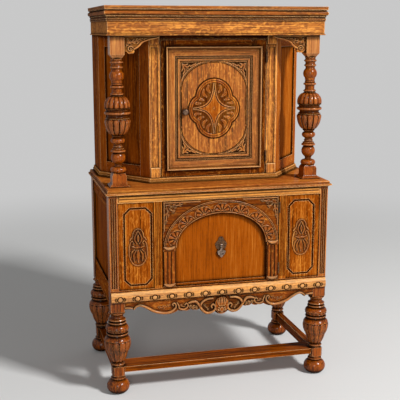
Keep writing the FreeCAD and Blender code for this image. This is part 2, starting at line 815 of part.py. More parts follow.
def lower_back():
    """The back of the lower cupboard, set between the back posts."""
    return box(-post_inner_x, post_inner_x, wall_line - back_thickness, wall_line,
               side_bottom_rail_low, slab_underside)


# Lower door

def lower_door_board():
    """The flat board of the lower door, with a ledge along its foot."""
    board = box(-lower_door_half, lower_door_half, lower_board_front,
                lower_board_front + lower_door_board_thickness, lower_door_low, lower_door_high)
    ledge_half = arch_board_half - door_pilaster_width
    ledge = box(-ledge_half, ledge_half, lower_board_front - door_ledge_projection, lower_board_front,
                lower_door_low, lower_door_low + door_ledge_height)
    return fused([board, ledge])


def half_ellipse_rows(half_width, rise, floor):
    """Half an ellipse over a straight foot, as four arcs through points of the true curve."""
    rows = [(-half_width, floor, 0), (half_width, floor, 0)]
    steps = 8
    for number in range(1, steps + 1):
        angle = math.pi * number / steps
        before = math.pi * (number - 1) / steps
        middle = (angle + before) / 2
        u0, v0 = math.cos(before) * half_width, math.sin(before) * rise
        u1, v1 = math.cos(angle) * half_width, math.sin(angle) * rise
        um, vm = math.cos(middle) * half_width, math.sin(middle) * rise
        chord = math.hypot(u1 - u0, v1 - v0)
        height = ((um - u0) * (v1 - v0) - (vm - v0) * (u1 - u0)) / chord
        rows.append((u1, floor + v1, height / chord))
    return rows[1:]


def lower_door_arch():
    """The arched board on the upper part of the lower door, its band raised over the spandrels."""
    board = box(-arch_board_half, arch_board_half, case_front, lower_board_front, arch_board_low,
                lower_door_high)
    outer_rows = half_ellipse_rows(arch_inner_half_width + arch_band_width,
                                   arch_inner_rise + arch_band_width, arch_centre_height)
    band = front_plate(outer_rows, case_front - arch_band_relief, case_front)
    foot = box(-slab_half, slab_half, case_front - tool_overrun, case_front, lower_door_low,
               arch_board_low)
    opening = front_plate(half_ellipse_rows(arch_inner_half_width, arch_inner_rise, arch_centre_height),
                          case_front - tool_overrun, lower_board_front + tool_overrun)
    return fused([board, band.cut(foot)]).cut(opening)


def door_pilaster():
    """The pilaster under one end of the arch: base, shaft and capital in one piece."""
    outer = arch_board_half
    inner = outer - door_pilaster_width
    face = case_front - arch_band_relief
    shaft = box(inner, outer, case_front, lower_board_front, lower_door_low, arch_board_low)
    base = box(inner, outer, face, case_front, lower_door_low, lower_door_low + door_base_height)
    capital = box(inner, outer, face, case_front, arch_board_low - door_capital_height, arch_board_low)
    pitch = door_pilaster_width / (flute_count + 1)
    cuts = []
    for number in range(flute_count):
        x = inner + pitch * (number + 1)
        cuts.append(rod(flute_radius, V(x, case_front, lower_door_low + 2 * door_base_height),
                        V(x, case_front, arch_board_low - 2 * door_capital_height)))
    return fused([shaft, base, capital]).cut(cuts)


# Hinges: the axis stands in front of the gap between the door and the case

def hinge_axis(edge_x, gap, face_y):
    """Plan position of a hinge pin."""
    return edge_x + gap / 2, face_y - hinge_face_gap - hinge_knuckle_radius


def hinge_leaf(edge_x, gap, face_y, middle_z, is_door):
    """One leaf with its knuckles: the door leaf has the middle knuckle, the case leaf the outer two."""
    axis_x, axis_y = hinge_axis(edge_x, gap, face_y)
    low = middle_z - hinge_height / 2
    third = hinge_height / 3
    if is_door:
        x0, x1 = edge_x, edge_x + hinge_leaf_thickness
        spans = [(low + third + hinge_knuckle_gap, low + 2 * third - hinge_knuckle_gap)]
    else:
        x0, x1 = edge_x + gap - hinge_leaf_thickness, edge_x + gap
        spans = [(low, low + third), (low + 2 * third, low + hinge_height)]
    parts = [box(x0, x1, face_y, face_y + hinge_leaf_depth, low, low + hinge_height)]
    for z0, z1 in spans:
        parts.append(box(x0, x1, axis_y, face_y, z0, z1))
        parts.append(rod(hinge_knuckle_radius, V(axis_x, axis_y, z0), V(axis_x, axis_y, z1)))
    bore = rod(hinge_pin_radius + hinge_pin_clearance, V(axis_x, axis_y, low - tool_overrun),
               V(axis_x, axis_y, low + hinge_height + tool_overrun))
    return fused(parts).cut(bore)


def hinge_pin(edge_x, gap, face_y, middle_z):
    """The loose pin with a round head over the top knuckle."""
    axis_x, axis_y = hinge_axis(edge_x, gap, face_y)
    low = middle_z - hinge_height / 2
    top = low + hinge_height
    rows = [(hinge_pin_radius, low, 0), (hinge_pin_radius, top, 0), (hinge_pin_head_radius, top, 0),
            (hinge_pin_radius, top + hinge_pin_head_height, 0.30)]
    return turned(rows, axis_x, axis_y)


def lower_hinges(make, *extra):
    """The pair of hinges of the lower door."""
    return [make(lower_door_half, lower_door_gap, case_front, z, *extra) for z in lower_hinge_heights]


def upper_hinges(make, *extra):
    """The pair of hinges of the upper door."""
    return [make(upper_door_half, upper_door_gap, upper_front, z, *extra) for z in upper_hinge_heights]


# Drop pull and catch of the lower door

backplate_shares = [
    (0.00, -0.50, 0), (0.20, -0.44, 0.20), (0.22, -0.28, 0.15), (0.46, -0.12, 0.30), (0.46, 0.14, 0.20),
    (0.24, 0.26, 0.10), (0.22, 0.40, 0.15), (0.00, 0.50, 0.25),
]

pull_leaf_shares = [
    (0.00, -1.00, 0), (0.20, -0.86, 0.15), (0.50, -0.62, 0.15), (0.42, -0.46, 0.25), (0.14, -0.40, -0.10),
    (0.11, -0.20, -0.05), (0.00, -0.10, 0),
]

pull_pin_y = lower_board_front - backplate_thickness - pull_pin_stand_off


def pull_backplate():
    """The plate behind the drop pull, with the two ears and the pin that carry it."""
    rows = scaled(two_sided(backplate_shares), backplate_width, backplate_height, 0, pull_height)
    front = lower_board_front - backplate_thickness
    parts = [front_plate(rows, front, lower_board_front)]
    inner = pull_eye_width / 2 + pull_side_gap
    outer = inner + pull_ear_thickness
    for side in SIDES.values():
        parts.append(box(side * inner, side * outer, pull_pin_y, front, pull_height - pull_ear_radius,
                         pull_height + pull_ear_radius))
        parts.append(rod(pull_ear_radius, V(side * inner, pull_pin_y, pull_height),
                         V(side * outer, pull_pin_y, pull_height)))
    parts.append(rod(pull_pin_radius, V(-outer, pull_pin_y, pull_height),
                     V(outer, pull_pin_y, pull_height)))
    return fused(parts)


def drop_pull():
    """The leaf-shaped pull that hangs from the pin."""
    rows = scaled(two_sided(pull_leaf_shares), pull_leaf_width, pull_drop_length, 0, pull_height)
    half = pull_leaf_thickness / 2
    leaf = front_plate(rows, pull_pin_y - half, pull_pin_y + half)
    half_eye = pull_eye_width / 2
    eye = rod(pull_eye_radius, V(-half_eye, pull_pin_y, pull_height), V(half_eye, pull_pin_y, pull_height))
    neck = box(-half_eye, half_eye, pull_pin_y - half, pull_pin_y + half,
               pull_height - pull_drop_length / 4, pull_height)
    bore = rod(pull_pin_radius + pull_pin_clearance, V(-pull_leaf_width, pull_pin_y, pull_height),
               V(pull_leaf_width, pull_pin_y, pull_height))
    return fused([leaf, eye, neck]).cut(bore)


catch_x = -lower_door_half + catch_from_edge
board_back = lower_board_front + lower_door_board_thickness


def catch_stud():
    """The stud on the back of the lower door that the spring leaves grip."""
    z = bottom_board_top + catch_stud_height
    return rod(catch_stud_radius, V(catch_x, board_back, z), V(catch_x, board_back + catch_stud_length, z))


def catch_clip():
    """The spring clip on the floor of the lower cupboard: a plate with two upright leaves."""
    half = catch_plate_length / 2
    y0 = board_back + catch_plate_gap
    y1 = y0 + catch_plate_width
    plate_top = bottom_board_top + catch_plate_thickness
    parts = [box(catch_x - half, catch_x + half, y0, y1, bottom_board_top, plate_top)]
    inner = catch_stud_radius + catch_stud_clearance
    outer = inner + catch_leaf_thickness
    for side in SIDES.values():
        parts.append(box(catch_x + side * inner, catch_x + side * outer, y0, y1, bottom_board_top,
                         bottom_board_top + catch_leaf_height))
    return fused(parts)


# Upper cupboard: its plan is a front, two canted sides and two short returns to the wall

canted_length = math.hypot(canted_side_run, canted_side_depth)
canted_way = (canted_side_run / canted_length, canted_side_depth / canted_length)
canted_out = (canted_way[1], -canted_way[0])
canted_front_corner = (upper_front_half_width, upper_front)


def plan_corner(number, out):
    """A corner of the plan on the right side, moved out from the walls: 0 at the front, 1 at the
    back end of the canted side, 2 at the wall."""
    if number == 2:
        return (upper_side_half_width + out, wall_line)
    base_x, base_y = canted_front_corner
    line = canted_out[0] * base_x + canted_out[1] * base_y + out
    if number == 0:
        y = upper_front - out
        return ((line - canted_out[1] * y) / canted_out[0], y)
    x = upper_side_half_width + out
    return (x, (line - canted_out[0] * x) / canted_out[1])


def canted_point(along, deep):
    """A plan point on the right canted side: along it from the front corner, and deep into the wall."""
    base_x, base_y = canted_front_corner
    return (base_x + canted_way[0] * along - canted_out[0] * deep,
            base_y + canted_way[1] * along - canted_out[1] * deep)


def canted_block(s0, s1, d0, d1, z0, z1):
    """A block in the right canted wall, between two distances along it and two depths."""
    corners = [canted_point(s0, d0), canted_point(s1, d0), canted_point(s1, d1), canted_point(s0, d1)]
    return plan_block(corners, z0, z1)


# Section of the plinth round the upper cupboard: (share of the projection, share of the height)
plinth_shares = [(1.00, 0.00), (1.00, 0.46), (0.62, 0.54), (0.62, 0.90), (0.30, 1.00)]


def plinth_length(left, right):
    """One mitred length of the plinth between two corners, each a function of the distance out."""
    def section(corner):
        outer = [(corner(u * plinth_projection), slab_top_height + v * plinth_height)
                 for u, v in plinth_shares]
        inner = [(corner(-wall_thickness), upper_wall_low), (corner(-wall_thickness), slab_top_height)]
        points = [V(x, y, z) for (x, y), z in outer + inner]
        return Part.makePolygon(points + points[:1])
    return Part.makeLoft([section(left), section(right)], True, True)


def base_moulding():
    """The stepped plinth under the walls of the upper cupboard, in five mitred lengths."""
    front = plinth_length(lambda out: (-plan_corner(0, out)[0], plan_corner(0, out)[1]),
                          lambda out: plan_corner(0, out))
    canted = plinth_length(lambda out: plan_corner(0, out), lambda out: plan_corner(1, out))
    back = plinth_length(lambda out: plan_corner(1, out), lambda out: plan_corner(2, out))
    return group([front, canted, back, mirrored(canted), mirrored(back)])


def inside_plan(gap, front_y=None):
    """The plan inside the walls, a gap smaller, and cut straight at front_y where that is given."""
    out = -wall_thickness - gap
    right = [plan_corner(number, out) for number in (0, 1, 2)]
    right[2] = (right[2][0], wall_line - back_thickness - gap)
    if front_y is not None:
        x0, y0 = right[0]
        x1, y1 = right[1]
        share = (front_y - y0) / (y1 - y0)
        right[0] = (x0 + (x1 - x0) * share, front_y)
    return right + [(-x, y) for x, y in reversed(right)]


def upper_floor():
    """The floor of the upper cupboard, inside its plinth."""
    return plan_block(inside_plan(groove_clearance), slab_top_height,
                      slab_top_height + upper_floor_thickness)


def pilaster():
    """The pilaster beside the upper door, mitred to the canted side, with a long sunk panel."""
    inner_x = upper_front_half_width - pilaster_width
    deep = plan_corner(0, -wall_thickness)
    body = plan_block([(inner_x, upper_front), canted_front_corner, deep, (inner_x, deep[1])],
                      upper_wall_low, frieze_low)
    x0 = inner_x + pilaster_panel_margin
    x1 = upper_front_half_width - pilaster_panel_margin
    panel_back = -upper_front - pilaster_panel_depth
    beyond = -upper_front + tool_overrun
    rows = [(panel_back, pilaster_panel_low + pilaster_panel_slope, 0),
            (-upper_front, pilaster_panel_low, 0), (beyond, pilaster_panel_low, 0),
            (beyond, pilaster_panel_high, 0), (panel_back, pilaster_panel_high, 0)]
    hollow = Part.Face(outline(rows, lambda u, v: V(x0, -u, v))).extrude(V(x1 - x0, 0, 0))
    return body.cut(hollow)


def canted_panel_block(grow=0):
    """The panel of the right canted side, which enters grooves all round."""
    return canted_block(canted_front_stile - panel_groove_depth - grow,
                        canted_length - canted_back_stile + panel_groove_depth + grow,
                        canted_panel_setback - grow, canted_panel_setback + panel_thickness + grow,
                        upper_wall_low + canted_rail_low_height - panel_groove_depth - grow,
                        frieze_low - canted_rail_high_height + panel_groove_depth + grow)


def canted_frame():
    """The frame of the right canted side: two stiles with mitred outer edges, and two rails."""
    s1 = canted_front_stile
    s2 = canted_length - canted_back_stile
    front_stile = plan_block([canted_front_corner, canted_point(s1, 0), canted_point(s1, wall_thickness),
                              plan_corner(0, -wall_thickness)], upper_wall_low, frieze_low)
    back_stile = plan_block([canted_point(s2, 0), plan_corner(1, 0), plan_corner(1, -wall_thickness),
                             canted_point(s2, wall_thickness)], upper_wall_low, frieze_low)
    low_rail = canted_block(s1, s2, 0, wall_thickness, upper_wall_low,
                            upper_wall_low + canted_rail_low_height)
    high_rail = canted_block(s1, s2, 0, wall_thickness, frieze_low - canted_rail_high_height, frieze_low)
    groove = canted_panel_block(groove_clearance)
    return group([part.cut(groove) for part in (front_stile, back_stile, low_rail, high_rail)])


def side_return():
    """The short wall from the canted side back to the wall of the room."""
    return plan_block([plan_corner(1, 0), plan_corner(2, 0), plan_corner(2, -wall_thickness),
                       plan_corner(1, -wall_thickness)], upper_wall_low, frieze_low)


def upper_top_rail():
    """The rail over the upper door, between the pilasters."""
    half = upper_front_half_width - pilaster_width
    return box(-half, half, upper_front, upper_front + wall_thickness, upper_door_high + upper_door_gap,
               frieze_low)


def upper_back():
    """The back of the upper cupboard."""
    half = upper_side_half_width - wall_thickness
    return box(-half, half, wall_line - back_thickness, wall_line, slab_top_height, frieze_low)


def upper_shelf():
    """The shelf in the upper cupboard, cut back from the door so that the latch bar clears it."""
    front = upper_front + upper_shelf_setback
    return plan_block(inside_plan(upper_shelf_clearance, front),
                      upper_shelf_height - upper_shelf_thickness, upper_shelf_height)


def shelf_battens():
    """Four battens under the shelf, on the canted sides and on the returns."""
    high = upper_shelf_height - upper_shelf_thickness
    low = high - batten_height
    canted = canted_block(canted_front_stile + batten_end_margin, canted_length - batten_end_margin,
                          wall_thickness, wall_thickness + batten_thickness, low, high)
    x1 = upper_side_half_width - wall_thickness
    start = plan_corner(1, -wall_thickness)[1] + batten_end_margin
    straight = box(x1 - batten_thickness, x1, start, wall_line - batten_end_margin, low, high)
    return group([canted, straight, mirrored(canted), mirrored(straight)])


# Upper door

def upper_door_panel_hollow(grow=0):
    """The panel's block with its tongue, or with grow the groove round it."""
    half_w = upper_door_half - upper_door_stile_width + upper_door_panel_tongue + grow
    reach = upper_door_stile_width - upper_door_panel_tongue - grow
    back = door_panel_front + upper_door_panel_thickness
    return box(-half_w, half_w, door_panel_front - grow, back + grow, upper_door_low + reach,
               upper_door_high - reach)


def upper_door_frame():
    """The frame of the upper door: two stiles and two rails round the panel."""
    back = upper_front + upper_door_thickness
    inner = upper_door_half - upper_door_stile_width
    low_top = upper_door_low + upper_door_stile_width
    high_foot = upper_door_high - upper_door_stile_width
    stile = box(inner, upper_door_half, upper_front, back, upper_door_low, upper_door_high)
    rails = [box(-inner, inner, upper_front, back, upper_door_low, low_top),
             box(-inner, inner, upper_front, back, high_foot, upper_door_high)]
    groove = upper_door_panel_hollow(groove_clearance)
    return group([part.cut(groove) for part in [stile, mirrored(stile)] + rails])


def rounded_oval_rows(half_w, half_h, straight):
    """An oval of two half ellipses with short straight sides between them."""
    top = half_ellipse_rows(half_w, half_h - straight, straight)
    return top + [(-u, -v, curve) for u, v, curve in top]


def upper_door_panel():
    """The panel of the upper door with its raised oval, bored for the spindle."""
    straight = door_oval_half_height * door_oval_straight_share
    rows = rounded_oval_rows(door_oval_half_width, door_oval_half_height, straight)
    rows = shifted(rows, 0, upper_door_middle)
    oval = front_plate(rows, door_panel_front - door_oval_relief, door_panel_front)
    bore = rod(spindle_radius + spindle_clearance,
               V(-knob_from_centre, upper_front - tool_overrun, knob_height),
               V(-knob_from_centre, upper_front + upper_door_thickness + tool_overrun, knob_height))
    return fused([upper_door_panel_hollow(), oval]).cut(bore)


# Section of the door moulding: (share of its width in from the outer edge, share of its height, curve)
door_moulding_shares = [
    (0.00, 0.00, 0), (0.00, 0.80, 0), (0.08, 0.80, 0.45), (0.10, 0.75, 0), (0.33, 0.30, -0.20),
    (0.36, 0.55, 0), (0.66, 0.55, 0.05), (0.68, 0.20, 0), (0.88, 0.10, 0), (0.88, 0.28, 0),
    (1.00, 0.28, 0.35),
]


def door_moulding_length(half_along, half_across, opening_along, opening_across):
    """One length of the moulding along the top of a rectangle, its ends mitred. Its back steps down
    into the opening of the frame and lies on the panel there."""
    inner = half_across - door_moulding_width
    rows = [(half_across - u * door_moulding_width, v * door_moulding_height, curve)
            for u, v, curve in door_moulding_shares]
    wire = outline(rows + [(inner, 0, 0)], lambda u, v: V(-half_along, upper_front - v, u))
    length = Part.Face(wire).extrude(V(2 * half_along, 0, 0))
    step = box(-opening_along, opening_along, upper_front, door_panel_front, inner, opening_across)
    inner_along = half_along - door_moulding_width
    near = upper_front - 2 * door_moulding_height
    corners = [V(-half_along, near, half_across), V(half_along, near, half_across),
               V(inner_along, near, inner), V(-inner_along, near, inner)]
    wedge = Part.Face(Part.makePolygon(corners + corners[:1])).extrude(V(0, door_panel_front - near, 0))
    return length.fuse(step).common(wedge).removeSplitter()


def upper_door_moulding():
    """The bold moulding round the panel of the upper door, in four mitred lengths."""
    opening_w = upper_door_half - upper_door_stile_width
    opening_h = upper_door_middle - upper_door_low - upper_door_stile_width
    level = door_moulding_length(door_moulding_half_width, door_moulding_half_height, opening_w, opening_h)
    upright = door_moulding_length(door_moulding_half_height, door_moulding_half_width, opening_h,
                                   opening_w)
    lengths = []
    for number, length in enumerate((level, upright, level, upright)):
        piece = length.copy()
        piece.rotate(V(0, 0, 0), V(0, 1, 0), 90 * number)
        piece.translate(V(0, 0, upper_door_middle))
        lengths.append(piece)
    return group(lengths)


# The carved quatrefoil, its right half from the bottom up:
# (share of the half width, share of the half height, curve)
quatrefoil_shares = [
    (0.00, -1.00, 0), (0.34, -0.84, 0.20), (0.50, -0.55, 0.25), (0.84, -0.40, 0.25), (1.00, 0.00, 0.20),
    (0.84, 0.40, 0.20), (0.50, 0.55, 0.25), (0.34, 0.84, 0.25), (0.00, 1.00, 0.20),
]


def upper_door_quatrefoil():
    """The carved quatrefoil on the middle of the oval."""
    half_w = knob_from_centre - knob_radius - quatrefoil_from_knob
    half_h = door_oval_half_height * quatrefoil_height_share
    rows = scaled(two_sided(quatrefoil_shares), half_w, half_h, 0, upper_door_middle)
    back = door_panel_front - door_oval_relief
    return front_plate(rows, back - quatrefoil_relief, back)


knob_shares = [
    (0.62, 0.00, 0), (0.77, 0.06, 0), (0.62, 0.16, 0.20), (0.42, 0.22, 0), (0.38, 0.42, -0.10),
    (0.70, 0.52, 0), (0.95, 0.62, 0.15), (0.55, 1.00, 0.30),
]


def knob():
    """The turned knob with its rose, and the spindle that goes through the door to the latch bar."""
    face = door_panel_front - door_oval_relief
    rows = scaled(knob_shares, knob_radius, knob_length)
    handle = turned(rows, 0, 0)
    handle.rotate(V(0, 0, 0), V(1, 0, 0), 90)
    handle.translate(V(-knob_from_centre, face, knob_height))
    end = upper_front + upper_door_thickness + latch_stand_off + latch_thickness
    spindle = rod(spindle_radius, V(-knob_from_centre, face - knob_length / 2, knob_height),
                  V(-knob_from_centre, end, knob_height))
    return fused([handle, spindle])


def latch():
    """The bar on the inner end of the spindle; it hangs down when the door is free to open."""
    y0 = upper_front + upper_door_thickness + latch_stand_off
    y1 = y0 + latch_thickness
    half = latch_width / 2
    low = knob_height - latch_length
    bar = box(-knob_from_centre - half, -knob_from_centre + half, y0, y1, low + half,
              knob_height + latch_tail)
    tip = rod(half, V(-knob_from_centre, y0, low + half), V(-knob_from_centre, y1, low + half))
    hole = rod(spindle_radius + spindle_clearance, V(-knob_from_centre, y0 - tool_overrun, knob_height),
               V(-knob_from_centre, y1 + tool_overrun, knob_height))
    return fused([bar, tip]).cut(hole)


# Columns, brackets, frieze and cornice

def column():
    """A turned column between its moulded plinth and the square block under the frieze."""
    x, y = column_from_centre, column_axis_y
    half = column_plinth_width / 2
    small = column_plinth_size / 2
    base = slab_top_height

    def square(size, z):
        corners = [V(x - size, y - size, z), V(x + size, y - size, z), V(x + size, y + size, z),
                   V(x - size, y + size, z)]
        return Part.makePolygon(corners + corners[:1])
    flare = Part.makeLoft([square(half, base),
                           square(half - (half - small) / 4, base + column_plinth_flare / 2),
                           square(small, base + column_plinth_flare)], True, True)
    shoulder = base + column_plinth_height - column_plinth_shoulder
    block = box(x - small, x + small, y - small, y + small, base + column_plinth_flare, shoulder)
    turning_low = base + column_plinth_height
    neck = Part.makeLoft([square(small, shoulder), square(small * 4 / 5, turning_low)], True, True)
    turning_high = frieze_low - column_block_height
    shaft = turned(scaled(column_shares, column_radius, turning_high - turning_low, v0=turning_low), x, y)
    top_half = column_block_size / 2
    chamfer = Part.makeLoft([square(top_half * 4 / 7, turning_high),
                             square(top_half, turning_high + column_chamfer_height)], True, True)
    top = box(x - top_half, x + top_half, y - top_half, y + top_half, turning_high + column_chamfer_height,
              frieze_low)
    return fused([flare, block, neck, shaft, chamfer, top])


# Outline of the bracket:
# (share of its length in from the column block, share of its drop below the frieze, curve)
bracket_shares = [
    (0.00, 0.86, 0), (0.08, 0.90, 0.20), (0.19, 1.00, 0.30), (0.28, 0.84, 0.35), (0.37, 0.73, -0.20),
    (0.49, 0.48, -0.12), (0.67, 0.31, -0.08), (0.92, 0.20, -0.06), (1.00, 0.03, 0.10), (1.00, 0.00, 0),
    (0.00, 0.00, 0),
]


def bracket():
    """The carved bracket in the corner between the right column's block and the frieze."""
    start = column_from_centre - column_block_size / 2
    rows = [(u * bracket_length - start, frieze_low - v * bracket_drop, curve)
            for u, v, curve in bracket_shares]
    front = front_edge + bracket_setback
    return mirrored(front_plate(rows, front, front + bracket_thickness))


def frieze_boards():
    """The plain frieze with a small bead along its foot, in three mitred lengths, and the board that
    closes the back of the frieze and the cornice."""
    around = mitred_box(frieze_shares, frieze_half + frieze_bead, frieze_front - frieze_bead, wall_line,
                        frieze_low, frieze_height, frieze_bead, frieze_thickness + frieze_bead)
    half = frieze_half - frieze_thickness
    behind = box(-half, half, wall_line - frieze_thickness, wall_line, frieze_low + soffit_thickness,
                 total_height - top_board_thickness)
    return group([around, behind])


def soffit():
    """The board inside the foot of the frieze, over the cupboard and the space behind the columns."""
    half = frieze_half - frieze_thickness
    return box(-half, half, frieze_front + frieze_thickness, wall_line, frieze_low,
               frieze_low + soffit_thickness)


def cornice_moulding():
    """The cornice in three mitred lengths."""
    return mitred_box(cornice_shares, frieze_half + cornice_projection, frieze_front - cornice_projection,
                      wall_line, frieze_high, cornice_height, cornice_projection,
                      frieze_thickness + cornice_projection)


def top_board():
    """The board on top of the cornice."""
    out = cornice_projection - top_board_inset
    return moulded_block(top_board_shares, frieze_half + out, frieze_front - out, wall_line,
                         total_height - top_board_thickness, top_board_thickness, top_board_inset)


def build():
    """Every node of the cupboard by name."""
    nodes = {}
    for side_name, side in SIDES.items():
        for end_name, end in ENDS.items():
            nodes["leg_" + end_name + "_" + side_name] = leg(side, end)
        nodes["side_panel_" + side_name] = side_panel_block(side)
        nodes["reeded_stile_" + side_name] = reeded_stile(side)
        nodes["front_panel_" + side_name] = on_side(front_panel(), side)
        nodes["canted_frame_" + side_name] = on_side(canted_frame(), side)
        nodes["canted_panel_" + side_name] = on_side(canted_panel_block(), side)
        nodes["side_return_" + side_name] = on_side(side_return(), side)
        nodes["pilaster_" + side_name] = on_side(pilaster(), side)
        nodes["column_" + side_name] = on_side(column(), side)
    nodes["side_stretchers"] = group([side_stretcher(side) for side in SIDES.values()])
    nodes["front_stretcher"] = front_stretcher()
    nodes["slab"] = slab()
    nodes["side_rails"] = group([rail for side in SIDES.values() for rail in side_rails(side)])
    nodes["front_bottom_rail"] = front_bottom_rail()
    nodes["front_top_rail"] = front_top_rail()
    nodes["panel_carvings"] = group([oval_carving(), mirrored(oval_carving())])
    nodes["gadroon_strip"] = gadroon_strip()
    nodes["apron"] = apron()
    nodes["bottom_board"] = bottom_board()
    nodes["lower_back"] = lower_back()
    nodes["lower_door_board"] = lower_door_board()
    nodes["lower_door_arch"] = lower_door_arch()
    nodes["lower_door_pilasters"] = group([door_pilaster(), mirrored(door_pilaster())])
    nodes["lower_door_hinge_leaves"] = group(lower_hinges(hinge_leaf, True))
    nodes["upper_door_hinge_leaves"] = group(upper_hinges(hinge_leaf, True))
    nodes["case_hinge_leaves"] = group(lower_hinges(hinge_leaf, False) + upper_hinges(hinge_leaf, False))
    nodes["hinge_pins"] = group(lower_hinges(hinge_pin) + upper_hinges(hinge_pin))
    nodes["pull_backplate"] = pull_backplate()
    nodes["drop_pull"] = drop_pull()
    nodes["catch_stud"] = catch_stud()
    nodes["catch_clip"] = catch_clip()
    nodes["base_moulding"] = base_moulding()
    nodes["upper_floor"] = upper_floor()
    nodes["upper_top_rail"] = upper_top_rail()
    nodes["upper_back"] = upper_back()
    nodes["upper_shelf"] = upper_shelf()
    nodes["shelf_battens"] = shelf_battens()
    nodes["upper_door_frame"] = upper_door_frame()
    nodes["upper_door_panel"] = upper_door_panel()
    nodes["upper_door_moulding"] = upper_door_moulding()
    nodes["upper_door_quatrefoil"] = upper_door_quatrefoil()
    nodes["knob"] = knob()
    nodes["latch"] = latch()
    nodes["brackets"] = group([bracket(), mirrored(bracket())])
    nodes["frieze_boards"] = frieze_boards()
    nodes["soffit"] = soffit()
    nodes["cornice_moulding"] = cornice_moulding()
    nodes["top_board"] = top_board()
    return nodes


os.makedirs("parts", exist_ok=True)
for name, shape in build().items():
    shape.exportStep("parts/" + name + ".step")
    print(name, len(shape.Solids), "solids, valid:", shape.isValid())
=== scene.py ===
# %% [markdown]
# # A court cupboard in carved oak
#
# The solid model already holds every board, rail, hinge and door in its real place. This lesson
# dresses it: it gives each board its own oak, turns the legs and columns with their reeds and
# gadroons, and carves the ornament. The first cell loads the model as a fixed frame. New pieces are
# written in millimetres, as on a maker's drawing; camera, lamps and materials work in metres.

# %% Load the frame
import math
import bpy
import numpy as np
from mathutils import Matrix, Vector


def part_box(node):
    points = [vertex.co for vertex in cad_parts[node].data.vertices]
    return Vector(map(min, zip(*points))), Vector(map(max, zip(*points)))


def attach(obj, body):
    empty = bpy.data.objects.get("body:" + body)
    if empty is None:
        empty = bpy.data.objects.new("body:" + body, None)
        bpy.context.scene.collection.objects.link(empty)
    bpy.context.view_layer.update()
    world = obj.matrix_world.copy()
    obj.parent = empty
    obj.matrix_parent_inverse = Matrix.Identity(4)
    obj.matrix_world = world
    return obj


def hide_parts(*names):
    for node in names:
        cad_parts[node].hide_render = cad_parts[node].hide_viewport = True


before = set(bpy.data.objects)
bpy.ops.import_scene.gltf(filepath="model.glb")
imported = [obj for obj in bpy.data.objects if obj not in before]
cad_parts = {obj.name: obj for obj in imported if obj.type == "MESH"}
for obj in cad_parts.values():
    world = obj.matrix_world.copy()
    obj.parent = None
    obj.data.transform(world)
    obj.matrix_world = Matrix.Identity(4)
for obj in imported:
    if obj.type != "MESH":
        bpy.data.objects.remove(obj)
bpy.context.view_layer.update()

MM = 0.001

# %% [markdown]
# ## Camera
#
# The photograph was taken from the left and a little above the slab, looking down. A camera with
# square sensor and the lens worked out from the picture gives the same converging lines; a turn
# about the vertical and a tilt are enough, because the picture has no roll.

# %% Camera
SENSOR, LENS, CAMERA_PLACE = 36.0, 75.8, (-0.95924, -3.63095, 1.52814)
CAMERA_DOWN, CAMERA_RIGHT = 0.19906, 0.25237
scene = bpy.context.scene


def put(name, data):
    """A new object in the scene."""
    made = bpy.data.objects.new(name, data)
    scene.collection.objects.link(made)
    return made


camera_data = bpy.data.cameras.new("camera")
camera_data.sensor_width, camera_data.lens, camera_data.clip_end = SENSOR, LENS, 60.0
camera = put("camera", camera_data)
camera.location = CAMERA_PLACE
camera.rotation_euler = (math.pi / 2 - CAMERA_DOWN, 0.0, -CAMERA_RIGHT)
scene.camera = camera
scene.view_settings.view_transform = "Standard"
print("camera lens", LENS, "mm")

# %% [markdown]
# ## Shader sums
#
# A wood is easier to read as a sum than as a web of nodes. The class below wraps one socket, and
# each +, - or * on it adds one Math node. Recipe.node makes any other node from its type, its
# settings and the values of its sockets.


# %% Shader sums and the node maker
class Wire:
    """A socket of numbers that can stand in a Python sum."""

    def __init__(self, recipe, socket):
        self.recipe, self.socket = recipe, socket

    def math(self, operation, *values):
        return self.recipe.node("ShaderNodeMath", {"operation": operation}, values)

    def __add__(self, other):
        return self.math("ADD", self, other)

    def __sub__(self, other):
        return self.math("SUBTRACT", self, other)

    def __rsub__(self, other):
        return self.math("SUBTRACT", other, self)

    def __mul__(self, other):
        return self.math("MULTIPLY", self, other)

    __radd__ = __add__
    __rmul__ = __mul__

    def size(self):
        return self.math("ABSOLUTE", self)

    def over(self, other):
        """1 where it is larger than the other, else 0."""
        return self.math("GREATER_THAN", self, other)

    def most(self, other):
        return self.math("MAXIMUM", self, other)

    def ramp(self, none, full):
        """0 at none, 1 at full, smooth between them."""
        return self.recipe.node("ShaderNodeMapRange", {"interpolation_type": "SMOOTHSTEP"},
                                [self, none, full, 0.0, 1.0])


